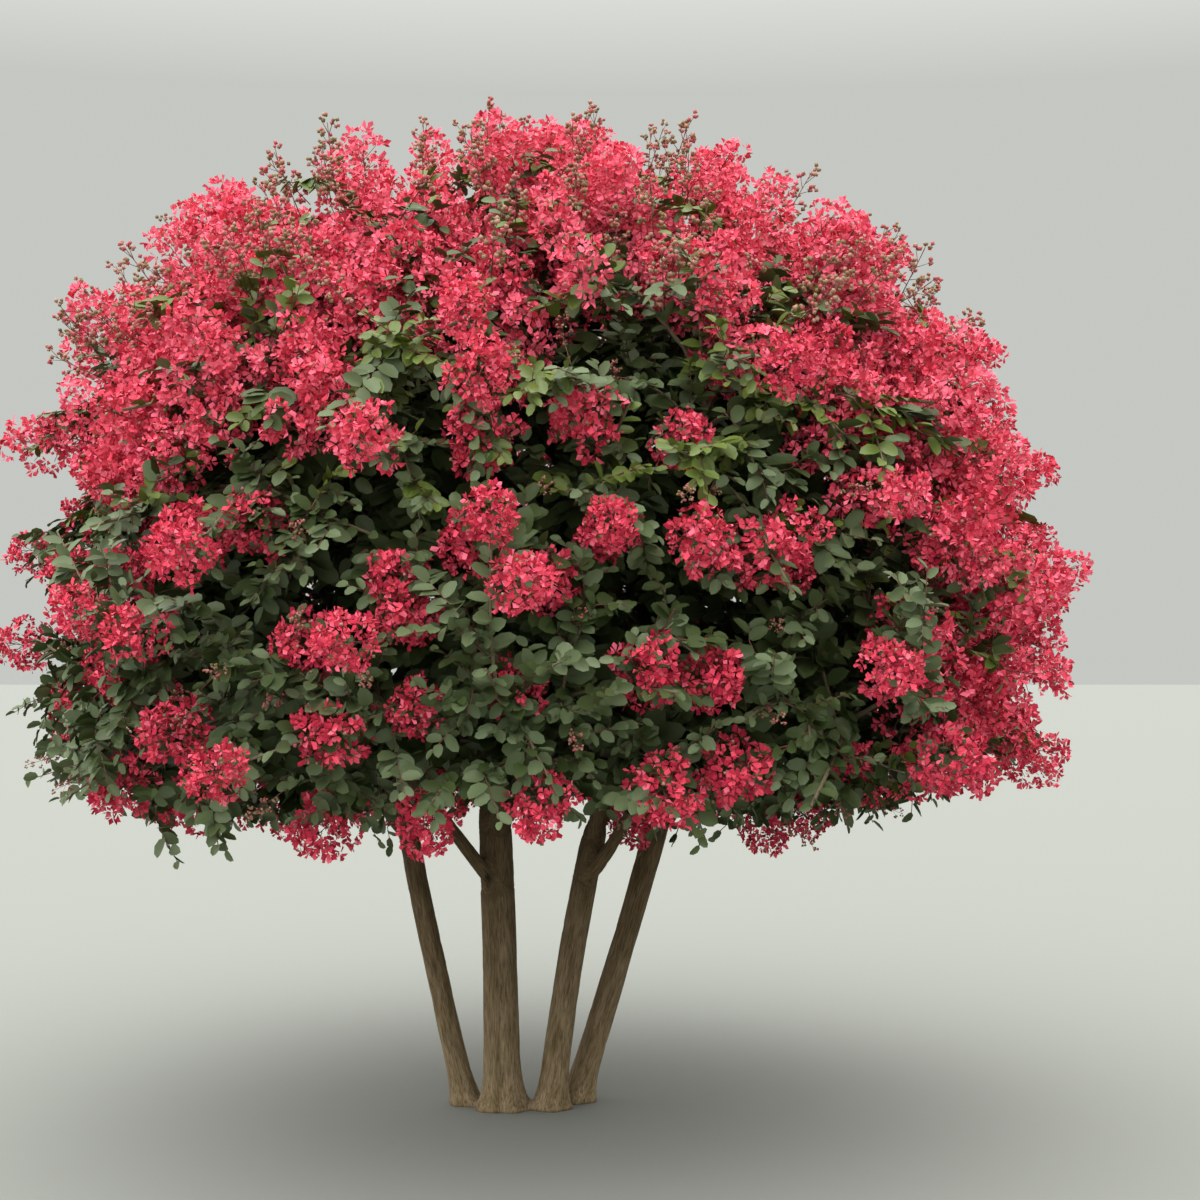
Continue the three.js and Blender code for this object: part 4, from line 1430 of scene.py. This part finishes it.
# %% Flowers over the crown
TIP_OUTWARD = 0.75
PANICLE_SUNK = 0.02
STRAY_SIZES = (0.82, 1.12)
SUNNY_SIZES = (0.9, 1.2)
LEAFY_BUD_SIZES = (0.45, 0.65)
# Heights below which the reds are painted darker, as painted shade.
REDS_PAINTED_DARKER_BELOW = (2.25, 1.65)
REDS_MINGLE = 0.4
# Rows by height: more rose high up as painted light, more crimson lower down as painted shade.
SUNNY_REDS = np.array([[0.74, 0.22, 0.04], [0.42, 0.44, 0.14], [0.16, 0.5, 0.34]])
# Strays in the shade get more crimson, as painted shade.
STRAY_REDS_PAINTED_SHADE = np.array([[0.28, 0.5, 0.22], [0.18, 0.5, 0.32], [0.1, 0.46, 0.44]])


def deal_tones(shares, count):
    """Tones dealt to each copy by its own shares."""
    draw = dice.random((len(shares), count))
    return (draw[..., None] > np.cumsum(shares, axis=1)[:, None, :-1]).sum(-1)


def flower(chosen, kinds, ring, sizes, red_shares=None):
    """Adds the panicles of the chosen shoots of one ring, with shares of reds at three heights that paint
    light and shade.
    """
    for number, kind in enumerate(kinds):
        own = chosen[number :: len(kinds)]
        if not len(own):
            continue
        facing = unit(end_way[own] * (1 - TIP_OUTWARD) + tip_outwards[own] * TIP_OUTWARD)
        axes = random_axes(facing)
        base = tip_points[own] - facing * PANICLE_SUNK
        size = between(sizes, dice.random(len(own)))

        def spread(part):
            return place_copies(part.reshape(-1, 3), base, axes, size).reshape(-1, part.shape[1], 3)

        if red_shares is not None:
            height = tip_points[own][:, 2] + dice.uniform(-REDS_MINGLE, REDS_MINGLE, len(own))
            # The height picks a row of shares, so lower panicles get darker reds as painted shade.
            lean = np.searchsorted(-np.array(REDS_PAINTED_DARKER_BELOW), -height)
            tones = deal_tones(red_shares[lean], len(kind["florets"]) * PETALS_EACH)
            tones = np.repeat(tones.reshape(-1, PETALS_EACH), len(petal_faces), axis=1)
            add_set("blossom", ring, spread(kind["florets"]), floret_faces, list(PETALS.values()), tones)
        tones = dice.integers(len(BUDS), size=(len(own) * len(kind["buds"]), 1))
        add_set("buds", ring, spread(kind["buds"]), bud_faces, list(BUDS.values()), tones)
        add_set("twigs", ring, spread(kind["stalks"]), tube_faces(*STALK_CUT), [SHOOT_BARK], 0)


for ring in RINGS:
    here = twig_ring == ring
    flower(np.flatnonzero(twig_blooms & twig_sunny & here), panicles, ring, SUNNY_SIZES, SUNNY_REDS)
    flower(np.flatnonzero(twig_blooms & ~twig_sunny & here), stray_panicles, ring, STRAY_SIZES, STRAY_REDS_PAINTED_SHADE)
    flower(np.flatnonzero(twig_budded & twig_sunny & here), bud_panicles, ring, SUNNY_SIZES)
    flower(np.flatnonzero(twig_budded & ~twig_sunny & here), bud_panicles, ring, LEAFY_BUD_SIZES)
    for kind, slot in (("twigs", "bark"), ("leaves", "leaf"), ("blossom", "blossom"), ("buds", "blossom")):
        join_sets(kind, ring)

# %% [markdown]
# ## Floor and light
# A plain grey floor runs far out on all sides. The light is that of an overcast noon: a pale sky that
# is even near the horizon and about five times as bright overhead, and one broad soft lamp high on
# the front left.

# %% Floor and light
FLOOR_SIZE = 60
LAMP_TURN = (math.radians(28), math.radians(-25), math.radians(-18))
LAMP_STRENGTH = 2.15
LAMP_SOFTNESS = math.radians(120)
SKY_HORIZON = 0.86
SKY_ZENITH = 4.6
SKY_EVEN_BELOW = 0.25

deselect_all()
bpy.ops.mesh.primitive_plane_add(size=FLOOR_SIZE)
floor = bpy.context.object
floor.name = "floor"
floor.data.materials.append(plain_finish("floor_grey_paper", "#868783", 0.9))

bpy.ops.object.light_add(type="SUN", rotation=LAMP_TURN)
lamp = bpy.context.object
lamp.name = "soft_lamp"
lamp.data.energy = LAMP_STRENGTH
lamp.data.angle = LAMP_SOFTNESS

world = bpy.data.worlds.new("overcast_sky")
world.use_nodes = True
background = world.node_tree.nodes["Background"]
background.inputs["Color"].default_value = linear("#d3d6d0")
heading = add_node(world, "TexCoord").outputs["Generated"]
upwards = add_node(world, "SeparateXYZ", links={"Vector": heading}).outputs["Z"]
brightness = {"From Min": SKY_EVEN_BELOW, "From Max": 1.0, "To Min": SKY_HORIZON, "To Max": SKY_ZENITH}
sky = add_node(world, "MapRange", inputs=brightness, links={"Value": upwards})
world.node_tree.links.new(sky.outputs["Result"], background.inputs["Strength"])
bpy.context.scene.world = world
bpy.context.scene.view_settings.view_transform = "Standard"
print("floor", FLOOR_SIZE, "m wide")
